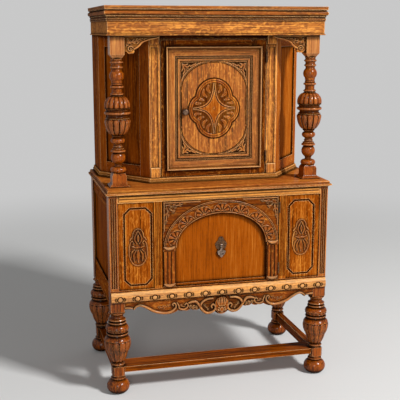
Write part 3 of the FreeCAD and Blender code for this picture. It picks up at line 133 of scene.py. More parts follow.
class Recipe:
    """The nodes of one material or world."""

    def __init__(self, owner):
        owner.use_nodes = True
        self.owner, self.tree = owner, owner.node_tree
        self.tree.nodes.clear()

    def node(self, kind, settings=None, values=(), out=0):
        """A node of any kind: its settings first, with a ramp's stops as (place, colour), then what
        its sockets take, in order or by name."""
        made = self.tree.nodes.new(kind)
        for key, value in (settings or {}).items():
            if key == "stops":
                made.color_ramp.interpolation = "EASE"
                stops = made.color_ramp.elements
                stops.remove(stops[-1])
                for number, (place, colour) in enumerate(value):
                    stop = stops.new(place) if number else stops[0]
                    stop.position, stop.color = place, colour
            else:
                setattr(made, key, value)
        for key, value in values.items() if isinstance(values, dict) else enumerate(values):
            if isinstance(value, Wire):
                self.tree.links.new(value.socket, made.inputs[key])
            else:
                made.inputs[key].default_value = value
        return Wire(self, made.outputs[out])

    def show(self, shader, output="ShaderNodeOutputMaterial"):
        """Links a shader to the output and gives back the material or world."""
        self.tree.links.new(shader.socket, self.tree.nodes.new(output).inputs[0])
        return self.owner

    def place(self):
        """The three parts of Object coordinates."""
        point = self.node("ShaderNodeTexCoord", out=3)
        return [self.node("ShaderNodeSeparateXYZ", None, [point], out) for out in range(3)]

    def seen(self):
        """1 for what the camera sees, straight or in a gloss or through glass, 0 for light."""
        camera, glossy, through = (self.node("ShaderNodeLightPath", out=out) for out in (0, 3, 6))
        return camera.most(glossy).most(through)

    def mixed(self, share, first, second, blend="MIX"):
        """A colour between two colours, or with MULTIPLY the first tinted by the second."""
        return self.node("ShaderNodeMix", {"data_type": "RGBA", "blend_type": blend},
                         {0: share, 6: first, 7: second}, out=2)

    def noise(self, parts, scale, detail, roughness, distortion=0.0):
        """Noise between 0 and 1 at a point that is given as its three parts."""
        point = self.node("ShaderNodeCombineXYZ", None, parts)
        return self.node("ShaderNodeTexNoise", None, {"Vector": point, "Scale": scale, "Detail": detail,
                                                      "Roughness": roughness, "Distortion": distortion})

    def attribute(self, name):
        return self.node("ShaderNodeAttribute", {"attribute_name": name}, out=2)

    def arris(self, radius):
        """How far the normal of a rounded edge leaves the true one, which it does near an arris."""
        rounded = self.node("ShaderNodeBevel", {"samples": 4}, {"Radius": radius})
        true = self.node("ShaderNodeNewGeometry", out=1)
        same = self.node("ShaderNodeVectorMath", {"operation": "DOT_PRODUCT"}, [rounded, true], out=1)
        return 1.0 - same

    def bump(self, height, distance):
        values = {"Strength": 0.35, "Distance": distance, "Height": height}
        return self.node("ShaderNodeBump", None, values)


print("shader tools ready")

# %% [markdown]
# ## Oak
#
# Old varnished oak is a few things laid over each other: broad bands of lighter and darker wood,
# narrow streaks along the grain, rows of dark open pores, and on quarter-cut boards the pale
# flecks of the rays. All of them are noises stretched along the board, so the recipe first turns
# the point so that its last part runs along the grain. The hollows are darkened with painted shade
# and dark polish, and the arrises are paled with wear and a painted highlight. A fine carving
# carries both as attributes of its mesh; for plain boards the ambient occlusion node finds the
# hollows, and the bevel node the arrises, where its rounded normal leaves the true one.


# %% Oak recipe
OAK_DEEP, OAK_MID = (0.060, 0.012, 0.001, 1.0), (0.310, 0.064, 0.002, 1.0)
OAK_PALE, FADED = (0.740, 0.275, 0.035, 1.0), (0.680, 0.390, 0.160, 1.0)
# The third row holds the near-black of painted shade and dark polish in the hollows, and the pale of wear
# and a painted highlight on the arrises.
POLISH_AND_SHADE, WORN_AND_HIGHLIGHT = (0.008, 0.003, 0.001, 1.0), (0.980, 0.580, 0.250, 1.0)
RAY_SHADE, PORE_SHADE = (0.50, 0.36, 0.22, 1.0), (0.30, 0.19, 0.13, 1.0)
SEED_STEP = (0.731, 0.377, 1.13)
# Broad bands, bands, streaks, pores and rays: how wide and how long the board is taken, then the
# scale, detail, roughness and distortion of the noise.
GRAIN = ((1.0, 0.10, 13.0, 2.0, 0.55, 0.6), (1.0, 0.035, 115.0, 3.0, 0.6, 0.35),
         (1.0, 0.022, 310.0, 3.0, 0.65, 0.0), (1.0, 0.030, 1500.0, 1.0, 0.5, 0.0),
         (1.6, 0.55, 85.0, 1.0, 0.4, 1.2))
GROOVE_FROM, GROOVE_TO = 0.0006, 0.0048


def oak(name, along="z", tone=0.5, seed=0.0, figure=0.35, wear_and_highlight=0.6, dirt_and_shade=0.95, gloss=0.3, faded=0.0,
        upright=None, pale_over=None, groove=None):
    """Varnished oak. along is the grain's axis, tone runs from dark 0 to pale 1, figure is how much
    ray fleck it has, the wear number how pale its arrises are from wear and a painted highlight, the
    dirt number how dark its hollows are from dirt and painted shade, and faded how far light has
    bleached it. upright says at which points the grain stands upright. pale_over is a height over
    which the wood is paler, with how much paler and how faded; groove is the depth of the face
    below which the cut groove is darkened with painted shade."""
    recipe = Recipe(bpy.data.materials.new(name))
    x, y, z = recipe.place()
    turns = {"x": (y, z, x), "y": (x, z, y), "z": (x, y, z)}
    parts = turns[along]
    if upright is not None:
        stands = upright(x, y, z)
        parts = [stands * a + (1.0 - stands) * b for a, b in zip(turns["z"], turns["x"])]
    across, deep, length = (part + seed * step for part, step in zip(parts, SEED_STEP))
    broad, bands, streaks, pores, rays = (recipe.noise((across * wide, deep, length * long), *rest)
                                          for wide, long, *rest in GRAIN)
    bright = ((broad - 0.5) * (0.5 + figure * 0.7) + (bands - 0.5) * (0.5 + figure * 1.2)
              + (streaks - 0.5) * (1.0 + figure * 1.3) + tone)
    if pale_over is not None:
        height, paler, more_faded = pale_over
        bright = bright + z.over(height) * paler
        faded = z.over(height) * more_faded
    colour = recipe.node("ShaderNodeValToRGB",
                         {"stops": ((0.02, OAK_DEEP), (0.42, OAK_MID), (0.98, OAK_PALE))}, [bright])
    colour = recipe.mixed(rays.ramp(0.50, 0.38) * figure, colour, RAY_SHADE, "MULTIPLY")
    colour = recipe.mixed(rays.ramp(0.56, 0.70) * figure, colour, OAK_PALE)
    pore = pores.ramp(0.56, 0.68) * streaks.ramp(0.62, 0.42) * 0.75
    colour = recipe.mixed(pore, colour, PORE_SHADE, "MULTIPLY")
    if faded:
        colour = recipe.mixed((streaks * 1.8 - 0.2) * faded, colour, FADED)
    # Painted shade with dark polish: what the two ambient occlusion nodes find hidden, in wide hollows and
    # in narrow quirks, is mixed toward a near-black brown.
    open_sky, close_sky = (
        recipe.node("ShaderNodeAmbientOcclusion", {"samples": samples}, {"Distance": reach}, out=1)
        for samples, reach in ((6, 0.030), (4, 0.014)))
    hollow = ((1.0 - open_sky).ramp(0.06, 0.42) * 0.9).most((1.0 - close_sky).ramp(0.10, 0.38)) * dirt_and_shade
    hollow = hollow.most(recipe.attribute("hollow"))
    # Painted shade in the cut groove: a band of depth just behind the face is darkened.
    if groove is not None:
        hollow = hollow.most((y.over(groove + GROOVE_FROM) - y.over(groove + GROOVE_TO)) * 0.85)
    colour = recipe.mixed(hollow, colour, POLISH_AND_SHADE)
    # Wear with a painted highlight: the arrises that the bevel node finds, and the crests that a carving
    # carries, are mixed toward a pale gold.
    edge = recipe.arris(0.0022).ramp(0.01, 0.11) * close_sky.ramp(0.72, 0.96) * wear_and_highlight
    colour = recipe.mixed(edge.most(recipe.attribute("crest")) * (0.45 + streaks), colour, WORN_AND_HIGHLIGHT)
    return recipe.show(recipe.node("ShaderNodeBsdfPrincipled", None, {
        "Base Color": colour, "Roughness": 0.34 + bands * 0.16 + pore * 0.2 + hollow * 0.25,
        "Specular IOR Level": 0.0, "Coat Weight": gloss * 0.24 * (1.0 - hollow * 0.8),
        "Coat Roughness": 0.18, "Normal": recipe.bump(streaks * 0.5 - pore, 0.0006)}))


print("oak recipe ready")

# %% [markdown]
# ## Aged brass
#
# The pull, the knob and the hinges are brass that has turned nearly brown. Metal seen through a
# patchy brown film is one metallic shader whose colour, metallic share and roughness follow a
# cloudy noise. On the arrises the metal is paled, partly where it is rubbed bright and partly as a
# painted highlight.


# %% Brass recipe
BRASS, BROWN_FILM, RUBBED_AND_HIGHLIGHT = (0.190, 0.090, 0.038, 1.0), (0.030, 0.015, 0.008, 1.0), (0.62, 0.42, 0.22, 1.0)


def brass(name, seed=0.0, bright=0.35, metal=BRASS):
    """Antique brass: a brown film over metal, paled at the edges by rubbing and a painted highlight."""
    recipe = Recipe(bpy.data.materials.new(name))
    x, y, z = recipe.place()
    place = (x + seed, y, z)
    cloud = recipe.noise(place, 140.0, 4.0, 0.6)
    film = cloud.ramp(0.35, 0.65)
    colour = recipe.mixed(film, metal, BROWN_FILM)
    # Rubbing with a painted highlight: the arrises are mixed toward a pale brass.
    colour = recipe.mixed(recipe.arris(0.0011).ramp(0.02, 0.2) * bright, colour, RUBBED_AND_HIGHLIGHT)
    height = recipe.noise(place, 900.0, 2.0, 0.5) * 0.4 + cloud
    return recipe.show(recipe.node("ShaderNodeBsdfPrincipled", None, {
        "Base Color": colour, "Metallic": 0.9 - film * 0.35, "Roughness": 0.32 + cloud * 0.25,
        "Normal": recipe.bump(height, 0.0005)}))


print("brass recipe ready")

# %% [markdown]
# ## A board for each name
#
# No two boards on a real cupboard are cut from the same place. Each solid therefore gets an oak of
# its own: the way its grain runs, how pale it is, and a shift into another part of the noise. The
# door moulding and the frames hold upright and level pieces in one solid, so their grain turns
# where the mitre or the shoulder is.

# %% Give every board its oak
SIDES = ("left", "right")
DOOR_MIDDLE, DOOR_ACROSS, DOOR_UP, DOOR_STILE = 1200.0, 209.0, 260.0, 165.5
CANT_CORNER, CANT_RUN, CANT_STILES = (0.281, -0.152), (0.179, 0.233), (0.056, 0.038)
PANEL_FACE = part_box("front_panel_left")[0][1]


def mitred(x, y, z):
    """1 where the point is nearer to a side than to the top or foot of the upper door."""
    return (x.size() - (z - DOOR_MIDDLE * MM).size()).over((DOOR_ACROSS - DOOR_UP) * MM)


def stiles_of_door(x, y, z):
    return x.size().over(DOOR_STILE * MM)


def canted_stiles(x, y, z):
    """1 on the two stiles of a canted side, by the distance along it from its front corner."""
    length = math.hypot(*CANT_RUN)
    run = ((x.size() - CANT_CORNER[0]) * (CANT_RUN[0] / length)
           + (y - CANT_CORNER[1]) * (CANT_RUN[1] / length))
    return (1.0 - run).over(1.0 - CANT_STILES[0]) + run.over(length - CANT_STILES[1])


CALM, INSIDE = {"figure": 0.1, "gloss": 0.1}, {"gloss": 0.1}
# Name, grain and tone of each board; two tones make a left and a right one.
BOARDS = (
    ("front_stretcher", "x", 0.20, {"wear_and_highlight": 2.8, "figure": 0.05}),
    ("side_stretchers", "y", 0.20, {"wear_and_highlight": 1.8, "figure": 0.05}),
    ("slab", "x", 0.54, {"wear_and_highlight": 2.0, "gloss": 0.5, "faded": 0.07}),
    ("side_rails", "y", 0.34, INSIDE),
    ("side_panel", "z", (0.34, 0.34), CALM),
    ("front_bottom_rail", "x", 0.42, {}),
    ("front_top_rail", "x", 0.84, {"wear_and_highlight": 1.4, "faded": 0.25}),
    ("reeded_stile", "z", (0.50, 0.50), {"wear_and_highlight": 0.0, "dirt_and_shade": 0.6}),
    ("front_panel", "z", (0.46, 0.46), {"gloss": 0.15, "wear_and_highlight": 1.2, "groove": PANEL_FACE}),
    ("lower_door_board", "z", 0.42, {"figure": 0.02, "gloss": 0.15}),
    ("lower_door_arch", "x", 0.30, {"gloss": 0.8}),
    ("lower_door_pilasters", "z", 0.38, {"gloss": 0.8}),
    ("gadroon_strip", "x", 0.58, {"figure": 0.75, "faded": 0.36}),
    ("apron", "x", 0.36, {"gloss": 0.9}),
    # The canted frame and panel are darker on the left than on the right: painted shade on the left side
    # and painted light on the right.
    ("canted_frame", "z", (0.34, 0.46), {"upright": canted_stiles, "figure": 0.1, "wear_and_highlight": 1.2}),
    ("canted_panel", "z", (0.30, 0.50), CALM),
    ("side_return", "z", (0.36, 0.36), INSIDE),
    ("pilaster", "z", (0.64, 0.66), {"figure": 0.8, "faded": 0.18}),
    # The top rail is darkened nearly black: painted shadow of the frieze above it.
    ("upper_top_rail", "x", 0.08, {}),
    ("base_moulding", "x", 0.84, {"wear_and_highlight": 1.8, "faded": 0.15}),
    # The door frame is dark partly from its own wood and partly from the painted shadow of the frieze.
    ("upper_door_frame", "z", 0.20, {"upright": stiles_of_door}),
    ("upper_door_moulding", "z", 0.41, {"upright": mitred, "wear_and_highlight": 0.7, "faded": 0.22}),
    ("upper_door_panel", "z", 0.41, {"figure": 0.5, "faded": 0.17}),
    ("frieze_boards", "x", 0.62, {"figure": 0.8, "faded": 0.20, "gloss": 0.15}),
    ("cornice_moulding", "x", 0.24, {"wear_and_highlight": 3.0, "faded": 0.12}),
    ("top_board", "x", 0.28, {"wear_and_highlight": 2.4, "faded": 0.12}),
    ("panel_carvings", "z", 0.44, {"gloss": 0.8}),
    ("upper_door_quatrefoil", "z", 0.50, {"gloss": 0.8}),
    ("brackets", "x", 0.58, {"gloss": 0.4, "faded": 0.15}),
    ("bottom_board", "x", 0.26, INSIDE),
    ("lower_back", "z", 0.26, CALM),
    ("upper_floor", "x", 0.26, INSIDE),
    ("upper_back", "z", 0.26, CALM),
    ("upper_shelf", "x", 0.30, INSIDE),
    ("shelf_battens", "y", 0.30, INSIDE),
    ("soffit", "x", 0.28, INSIDE),
)
# Turned pieces: tone, seed of the left one, and where and how the wood is paler.
TURNED = (("leg_front", 0.24, 54.0, (0.45, 0.24, 0.0)), ("leg_back", 0.24, 54.0, (0.45, 0.24, 0.0)),
          ("column", 0.36, 64.0, (1.414, 0.15, 0.32)))
METALS = ("lower_door_hinge_leaves", "upper_door_hinge_leaves", "case_hinge_leaves", "hinge_pins",
          "pull_backplate", "drop_pull", "catch_stud", "catch_clip", "knob", "latch")
# Seed, how pale the edges are from rubbing and a painted highlight, and metal of the two that are handled.
BRIGHTER = {"knob": (3.3, 0.4, (0.230, 0.135, 0.085, 1.0)),
            "drop_pull": (5.1, 0.8, (0.380, 0.270, 0.210, 1.0))}


def finish_node(node, material):
    """Puts one material on a solid of the frame."""
    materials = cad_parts[node].data.materials
    materials.clear()
    materials.append(material)


number = 0
for name, along, tones, more in BOARDS:
    pair = isinstance(tones, tuple)
    for node, tone in zip([name + "_" + side for side in SIDES], tones) if pair else [(name, tones)]:
        number += 1
        finish_node(node, oak("oak_" + node, along, tone, float(number), **more))
for name, tone, seed, pale_over in TURNED:
    for node, own_seed in zip([name + "_" + side for side in SIDES], (seed, seed + 1.0)):
        finish_node(node, oak("oak_" + node, "z", tone, own_seed, figure=0.15, gloss=2.0,
                              pale_over=pale_over))
for place, node in enumerate(METALS):
    finish_node(node, brass("brass_" + node, *BRIGHTER.get(node, [place * 0.37])))
print(number, "boards and", len(METALS), "metal pieces have their material")

# %% [markdown]
# ## Floor and light
#
# The cupboard stands on a plain pale floor in an even grey light, so that the colours come out
# about as they are written. One large soft lamp above and to the right gives the varnish its
# highlights and puts the shade of each carving below and to the left of it; a weaker one on the
# left keeps the shadows open. Farther out the floor runs into the colour of the wall.

# %% Floor, lamps and world
WALL, SKY, PAINT = (0.58, 0.58, 0.58, 1.0), (0.60, 0.60, 0.60, 1.0), (0.70, 0.70, 0.69, 1.0)
FLOOR_HALF, FLOOR_ENDS = 30, (1.9, 4.6)
# Place, the point that it faces, size and power of each lamp.
LAMPS = {"lamp_right": ((3.8, -4.8, 5.7), (0.0, -0.2, 0.85), 1.3, 670.0),
         "lamp_left": ((-2.4, -8.0, 3.4), (0.0, -0.2, 0.8), 2.0, 150.0)}

recipe = Recipe(bpy.data.materials.new("floor_paint"))
x, y, z = recipe.place()
far = x.math("SQRT", x * x + y * y).ramp(*FLOOR_ENDS) * recipe.seen()
paint = recipe.node("ShaderNodeBsdfPrincipled", None, {"Base Color": PAINT, "Roughness": 0.9})
wall = recipe.node("ShaderNodeEmission", None, {"Color": WALL, "Strength": 1.0})
floor_data = bpy.data.meshes.new("floor")
corners = [(a * FLOOR_HALF, b * FLOOR_HALF, 0) for a, b in ((-1, -1), (1, -1), (1, 1), (-1, 1))]
floor_data.from_pydata(corners, [], [(0, 1, 2, 3)])
floor_data.materials.append(recipe.show(recipe.node("ShaderNodeMixShader", None, [far, paint, wall])))
floor = put("floor", floor_data)
for name, (place, target, size, power) in LAMPS.items():
    data = bpy.data.lights.new(name, "AREA")
    data.shape, data.size, data.energy = "SQUARE", size, power
    lamp = put(name, data)
    lamp.location = place
    way = np.subtract(target, place)
    lamp.rotation_euler = (math.atan2(math.hypot(way[0], way[1]), -way[2]), 0.0,
                           math.atan2(way[0], -way[1]) + math.pi)
sky = Recipe(bpy.data.worlds.new("studio"))
light = sky.node("ShaderNodeBackground", None, {"Color": SKY, "Strength": 0.38})
wall = sky.node("ShaderNodeBackground", None, {"Color": WALL, "Strength": 1.0})
both = sky.node("ShaderNodeMixShader", None, [sky.seen(), light, wall])
scene.world = sky.show(both, "ShaderNodeOutputWorld")
print("floor, two lamps and world ready")

# %% [markdown]
# ## Meshes from arrays
#
# Every new piece is one or more grids of points: rows up the piece, columns round it or across it.
# A grid closes on itself where its columns go all the way round, and its ends are closed by a fan
# about their middle. Two numbers go with each point: hollow, how far painted shade and dark polish
# darken it, and crest, how far wear and a painted highlight pale it.


# %% Mesh tools
def grid_faces(rows, columns, closed):
    """Quads between neighbouring rows and columns, wound so that column way x row way is outward."""
    i = np.arange(rows - 1)[:, None]
    j = np.arange(columns if closed else columns - 1)[None, :]
    k = (j + 1) % columns
    quads = [i * columns + j, i * columns + k, (i + 1) * columns + k, (i + 1) * columns + j]
    return np.stack(np.broadcast_arrays(*quads), axis=-1).reshape(-1, 4)


def fan_faces(centre, ring, upward):
    """Triangles from a middle point to a closed ring of points."""
    middle, after = np.full_like(ring, centre), np.roll(ring, -1)
    return np.stack((middle, ring, after) if upward else (middle, after, ring), axis=-1)


class Shell:
    """Several grids that become one mesh. Its points are rows of (x, y, z, hollow, crest)."""

    def __init__(self):
        self.points, self.quads, self.fans, self.count = [], [], [np.zeros((0, 3), int)], 0

    def keep(self, points):
        self.points.append(points.reshape(-1, 5))
        self.count += len(self.points[-1])

    def add(self, grid, hollow=0.0, crest=0.0, closed=True, mirror=False, shown=True):
        """One grid of points in millimetres; mirror puts it on the other side of the middle plane.
        Quads with no point that is shown are left out."""
        rows, columns = np.shape(grid)[:2]
        hollow, crest, shown = (np.broadcast_to(part, (rows, columns)) for part in (hollow, crest, shown))
        points = np.dstack([grid, hollow, crest])
        if mirror:
            points, shown = points[:, ::-1] * (-1, 1, 1, 1, 1), shown[:, ::-1]
        quads, first = grid_faces(rows, columns, closed), self.count
        self.quads.append(quads[shown.reshape(-1)[quads].any(axis=1)] + first)
        self.keep(points)
        if closed:
            for row, upward in ((0, False), (rows - 1, True)):
                ring = np.arange(columns) + first + row * columns
                self.fans.append(fan_faces(self.count, ring, upward))
                self.keep(points[row].mean(axis=0) * (1, 1, 1, 0, 0))

    def make(self, name, board, body="cupboard", slot="oak_carved", replaces=False, angle=50.0):
        """The mesh object in the oak of a board of the frame, which it may replace: points in metres,
        edges sharper than angle kept crisp."""
        points, quads, fans = map(np.concatenate, (self.points, self.quads, self.fans))
        used = np.zeros(len(points), bool)
        used[quads] = used[fans] = True
        points, number = points[used], np.cumsum(used) - 1
        loops = number[np.concatenate([quads.reshape(-1), fans.reshape(-1)])]
        starts = np.concatenate([np.arange(len(quads)) * 4, len(quads) * 4 + np.arange(len(fans)) * 3])
        data = bpy.data.meshes.new(name)
        data.vertices.add(len(points))
        data.vertices.foreach_set("co", (points[:, :3] * MM).reshape(-1))
        data.loops.add(len(loops))
        data.loops.foreach_set("vertex_index", loops.astype(np.int32))
        data.polygons.add(len(starts))
        data.polygons.foreach_set("loop_start", starts.astype(np.int32))
        data.update(calc_edges=True)
        for column, word in ((3, "hollow"), (4, "crest")):
            layer = data.attributes.new(word, "FLOAT", "POINT")
            layer.data.foreach_set("value", points[:, column].astype(np.float32))
        data.polygons.foreach_set("use_smooth", np.ones(len(starts), bool))
        data.set_sharp_from_angle(angle=math.radians(angle))
        data.materials.append(bpy.data.materials["oak_" + board])
        piece = put(name, data)
        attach(piece, body)
        if replaces:
            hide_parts(board)
        print(name, 2 * len(quads) + len(fans), "triangles")


def smooth_step(none, full, value):
    """0 at none, 1 at full, and s^2 (3 - 2 s) at a share s of the way."""
    share = np.clip((value - none) / (full - none), 0.0, 1.0)
    return share * share * (3.0 - 2.0 * share)


# %% [markdown]
# ## Turned profiles
#
# A turner works from a marked rod: a list of radii and heights with coves and beads between them.
# The same list, with the bow of each stretch, gives the outline here. Carved turnings are the same
# outline pressed in between the reeds: the radius is the turned one, less a depth that is nothing
# on the crown of a reed and full in the groove beside it.


# %% Profiles and carved turnings
def rows_of(text):
    """Rows of numbers that are written as text, with a comma between the rows."""
    return [[float(number) for number in row.split()] for row in text.split(",")]


def sampled(rows, step):
    """Points of (radius, height) along rows of (radius, height, bow): each stretch is an arc whose
    height over its chord is the bow times the chord, or a straight line where the bow is 0."""
    points = [np.array([rows[0][:2]], float)]
    for (r0, z0, _), (r1, z1, bow) in zip(rows[:-1], rows[1:]):
        start, chord = np.array([r0, z0]), np.array([r1 - r0, z1 - z0])
        length = np.hypot(*chord)
        count = max(1, int(math.ceil(length / step)))
        share = np.arange(1, count + 1)[:, None] / count
        if bow:
            half = 2.0 * math.atan(2.0 * bow)
            radius = length / 2.0 / math.sin(half)
            angle = (share * 2.0 - 1.0) * half
            outward = np.array([chord[1], -chord[0]]) / length
            points.append(start + chord * (0.5 + np.sin(angle) * radius / length)
                          + outward * (np.cos(angle) - math.cos(half)) * radius)
        else:
            points.append(start + chord * share)
    return np.concatenate(points)


def lobes(turn, height, low, high, count, end, phase=0.0, power=2.0):
    """Convex reeds round a turning: 1 on their crowns, 0 in the grooves and beyond their round ends.
    The crown is the p-th root of 1 - |t|^p - e^p, with t across the reed and e how far into its
    end; p of 2 gives a round reed, a larger one a flat reed between narrow grooves."""
    t = np.abs(((turn * count / (2 * math.pi) + phase) % 1.0) * 2.0 - 1.0)
    e = 1.0 - np.clip(np.minimum(height - low, high - height) / end, 0.0, 1.0)
    return np.clip(1.0 - t ** power - e ** power, 0.0, 1.0) ** (1.0 / power)


def turned_grid(profile, x, y, columns, carving=()):
    """A turned surface about an upright axis at (x, y), pressed in by each carving: rows of
    (low, high, count, end, phase, depth, tongue, power). Gives the grid, its hollows and its crests."""
    turn, height = np.meshgrid(np.arange(columns) * 2 * math.pi / columns, profile[:, 1])
    radius = np.repeat(profile[:, :1], columns, axis=1)
    hollow = crest = np.zeros_like(radius)
    for low, high, count, end, phase, depth, tongue, power in carving:
        inside = (height > low) & (height < high)
        crown = lobes(turn, height, low, high, count, end, phase, power)
        if tongue:
            inner = lobes(turn, height, low + end * 0.6, high - end * 0.9, count, end, phase)
            crown = crown * np.where((inner <= 0.62) & (crown > 0.35) & (crown < 0.78), 0.55, 1.0)
        radius = np.where(inside, radius - depth * (1.0 - crown), radius)
        # Painted shade in the grooves between the reeds, and a faint painted highlight on their crowns.
        hollow = np.where(inside, np.maximum(hollow, smooth_step(0.6, 0.05, crown) * 0.8), hollow)
        crest = np.where(inside, smooth_step(0.85, 1.0, crown) * 0.12 / power, crest)
    smoothed = np.convolve(np.pad(profile[:, 0], 4, mode="edge"), np.ones(9) / 9, mode="valid")
    ridge = (profile[:, 0] - smoothed)[:, None]
    # Painted shade in the coves of the profile, and a faint painted highlight on its beads.
    hollow = np.maximum(hollow, smooth_step(0.6, 3.2, -ridge) * 0.75)
    crest = np.maximum(crest, smooth_step(0.6, 3.0, ridge) * 0.12)
    return np.dstack([x + radius * np.cos(turn), y + radius * np.sin(turn), height]), hollow, crest


def prism_grid(plan, levels):
    """An upright surface over a closed plan, at each of several levels."""
    across, deep = np.array(plan, float).T
    return np.dstack(np.broadcast_arrays(across, deep, np.array(levels, float)[:, None]))


def square_grid(x, y, rows):
    """A surface of square plan about an upright axis: rows of (half width, level)."""
    half, level = np.array(rows, float).T[:, :, None]
    return np.dstack(np.broadcast_arrays(x + half * (-1, 1, 1, -1), y + half * (-1, -1, 1, 1), level))


# %% [markdown]
# ## Legs
#
# Each leg is one stick of oak: a ball foot, a square block where the stretcher enters, a big vase
# carved with convex reeds and a collar of petals, rings and a small bulb, and then the square post
# that runs up behind the case to the slab. The front posts have three flutes on their outer part.
# The vase is 114 mm across at its widest, so the reeds are cut into it and nothing stands outside
# the turner's line.

# %% Legs
# Rows of (share of the widest radius, share of the height, bow), from the floor up.
FOOT = rows_of("""
    .5 0 0, .62 .75 .36, .56 .78 0, .58 .89 .45, .54 .91 0, .54 1 0""")
VASE = rows_of("""
    .42 0 0, .42 .02 .4, .46 .029 0, .46 .065 .45, .44 .073 0, .79 .269 .05, 1 .416 .07, .97 .49 .06,
    .88 .531 .08, .7 .563 .08, .67 .58 0, .77 .588 0, .77 .62 .45, .67 .624 0, .63 .767 .34, .56 .78 0,
    .63 .788 0, .63 .816 .45, .54 .824 0, .6 .841 0, .6 .869 .45, .49 .886 0, .49 .939 -.15, .63 .971 0,
    .51 1 0""")
LEG_X, LEG_Y, FOOT_RADIUS, FOOT_HIGH, VASE_RADIUS = 451.0, 252.0, 48.0, 80.0, 57.0
VASE_LOW, VASE_HIGH, FLUTED_LOW, SLAB_UNDER = 120.0, 365.0, 460.0, 864.0
BLOCK = [(26, -20), (26, 20), (20, 26), (-20, 26), (-26, 20), (-26, -20), (-20, -26), (20, -26)]
POST = [(-29, -29), (29, -29), (29, 29), (-29, 29)]
# Reeds and the collar: from, to, how many, round end, phase, depth, tongue and power.
LEG_CARVING = [(140.0, 240.0, 12, 15.0, 0.0, 5.2, False, 3.2),
               (279.0, 290.0, 16, 6.0, 0.0, 2.0, False, 2.0)]
FLUTED_FROM, FLUTED_TO, POST_FRONT, FLUTE_PITCH, FLUTE_RADIUS = 445.0, 480.0, -281.0, 8.75, 3.4
POST_REST = [(480, -223), (422, -223), (422, -269), (445, -269)]
FLUTE_LOW, FLUTE_HIGH, ACROSS_FLUTES = 472.0, 850.0, 57


def fluted_post():
    """The right front post above the bottom rail, its front face pressed in by three round flutes:
    depth is the root of r^2 - across^2 - beyond^2. Gives the grid and its hollows."""
    plan = [(x, POST_FRONT) for x in np.linspace(FLUTED_FROM, FLUTED_TO, ACROSS_FLUTES)] + POST_REST
    levels = np.concatenate([[FLUTED_LOW, 466], np.arange(468, 477, 0.8), np.linspace(500, 830, 12),
                             np.arange(845.5, 855, 0.8), [SLAB_UNDER]])
    grid = prism_grid(plan, levels)
    x, z = grid[:, :ACROSS_FLUTES, 0], grid[:, :ACROSS_FLUTES, 2]
    beyond = np.maximum(np.maximum(FLUTE_LOW - z, z - FLUTE_HIGH), 0.0)
    across = np.min([np.abs(x - (FLUTED_FROM + FLUTE_PITCH * number)) for number in (1, 2, 3)], axis=0)
    depth = np.sqrt(np.clip(FLUTE_RADIUS ** 2 - across ** 2 - beyond ** 2, 0, None))
    grid[:, :ACROSS_FLUTES, 1] += depth
    # Painted shade in the bottoms of the flutes.
    return grid, np.pad(smooth_step(1.4, 3.3, depth) * 0.25, ((0, 0), (0, len(POST_REST))))


def leg(name, y, mirror):
    """One leg at its true place on the right side, or mirrored to the left."""
    shell = Shell()
    foot = sampled([(r * FOOT_RADIUS, z * FOOT_HIGH, bow) for r, z, bow in FOOT], 2.0)
    shell.add(turned_grid(foot, LEG_X, y, 96)[0], mirror=mirror)
    shell.add(prism_grid(np.add(BLOCK, (LEG_X, y)), [FOOT_HIGH, VASE_LOW]), mirror=mirror)
    rows = [(r * VASE_RADIUS, VASE_LOW + z * (VASE_HIGH - VASE_LOW), bow) for r, z, bow in VASE]
    shell.add(*turned_grid(sampled(rows, 1.5), LEG_X, y, 216, LEG_CARVING), mirror=mirror)
    front = y < 0.0
    square = np.add(POST, (LEG_X, y))
    shell.add(prism_grid(square, [VASE_HIGH, FLUTED_LOW if front else SLAB_UNDER]), mirror=mirror)
    if front:
        shell.add(*fluted_post(), mirror=mirror)
    shell.make(name + "_carved", name, slot="oak_turned", replaces=True, angle=32.0)


for end, y in (("front", -LEG_Y), ("back", LEG_Y)):
    for side in SIDES:
        leg("leg_" + end + "_" + side, y, side == "left")

# %% [markdown]
# ## Columns
#
# The two columns carry the cornice. Each stands on a square moulded plinth and ends in a square
# block. Between them the turning swells into a cup and cover: the cup is carved with lobes that
# hold a smaller tongue, the cover with plain gadroons that run up into the neck.

# %% Columns
COLUMN = rows_of("""
    .46 0 0, .46 .051 .32, .27 .058 0, .27 .077 -.1, .37 .09 0, .41 .177 .21, .39 .181 0, .48 .184 0,
    .48 .205 .45, .44 .209 0, .46 .218 .2, .33 .229 -.2, .33 .241 .45, .31 .254 -.1, .37 .261 0,
    .37 .314 .38, .43 .325 0, .97 .438 .1, .97 .481 .08, .82 .494 0, .82 .515 -.25, .91 .519 0,
    .91 .545 .42, .84 .549 0, .84 .562 0, .98 .573 0, .98 .585 .1, .44 .682 .18, .43 .686 0,
    .43 .705 .45, .38 .712 0, .38 .744 0, .43 .748 0, .43 .769 .45, .37 .774 0, .37 .788 .4,
    .4 .797 -.1, .41 .814 0, .42 .893 .2, .37 .912 -.1, .41 .919 0, .41 .938 .45, .39 .944 0,
    .39 .955 0, .43 .962 0, .43 .981 .45, .4 .987 0, .44 1 0""")
COLUMN_X, COLUMN_Y, COLUMN_LOW, COLUMN_HIGH, COLUMN_RADIUS = 422.0, -183.0, 945.0, 1413.0, 54.0
PLINTH = [(42, 888), (42, 891), (39, 894), (32, 899.5), (30, 903), (30, 933), (24, COLUMN_LOW)]
TOP_BLOCK = [(16.9, COLUMN_HIGH), (29.5, 1431), (29.5, 1507)]
COLUMN_CARVING = [(1101.0, 1171.0, 12, 14.0, 0.0, 5.5, True, 2.4),
                  (1214.0, 1262.0, 14, 6.0, 0.5, 5.0, False, 2.0)]

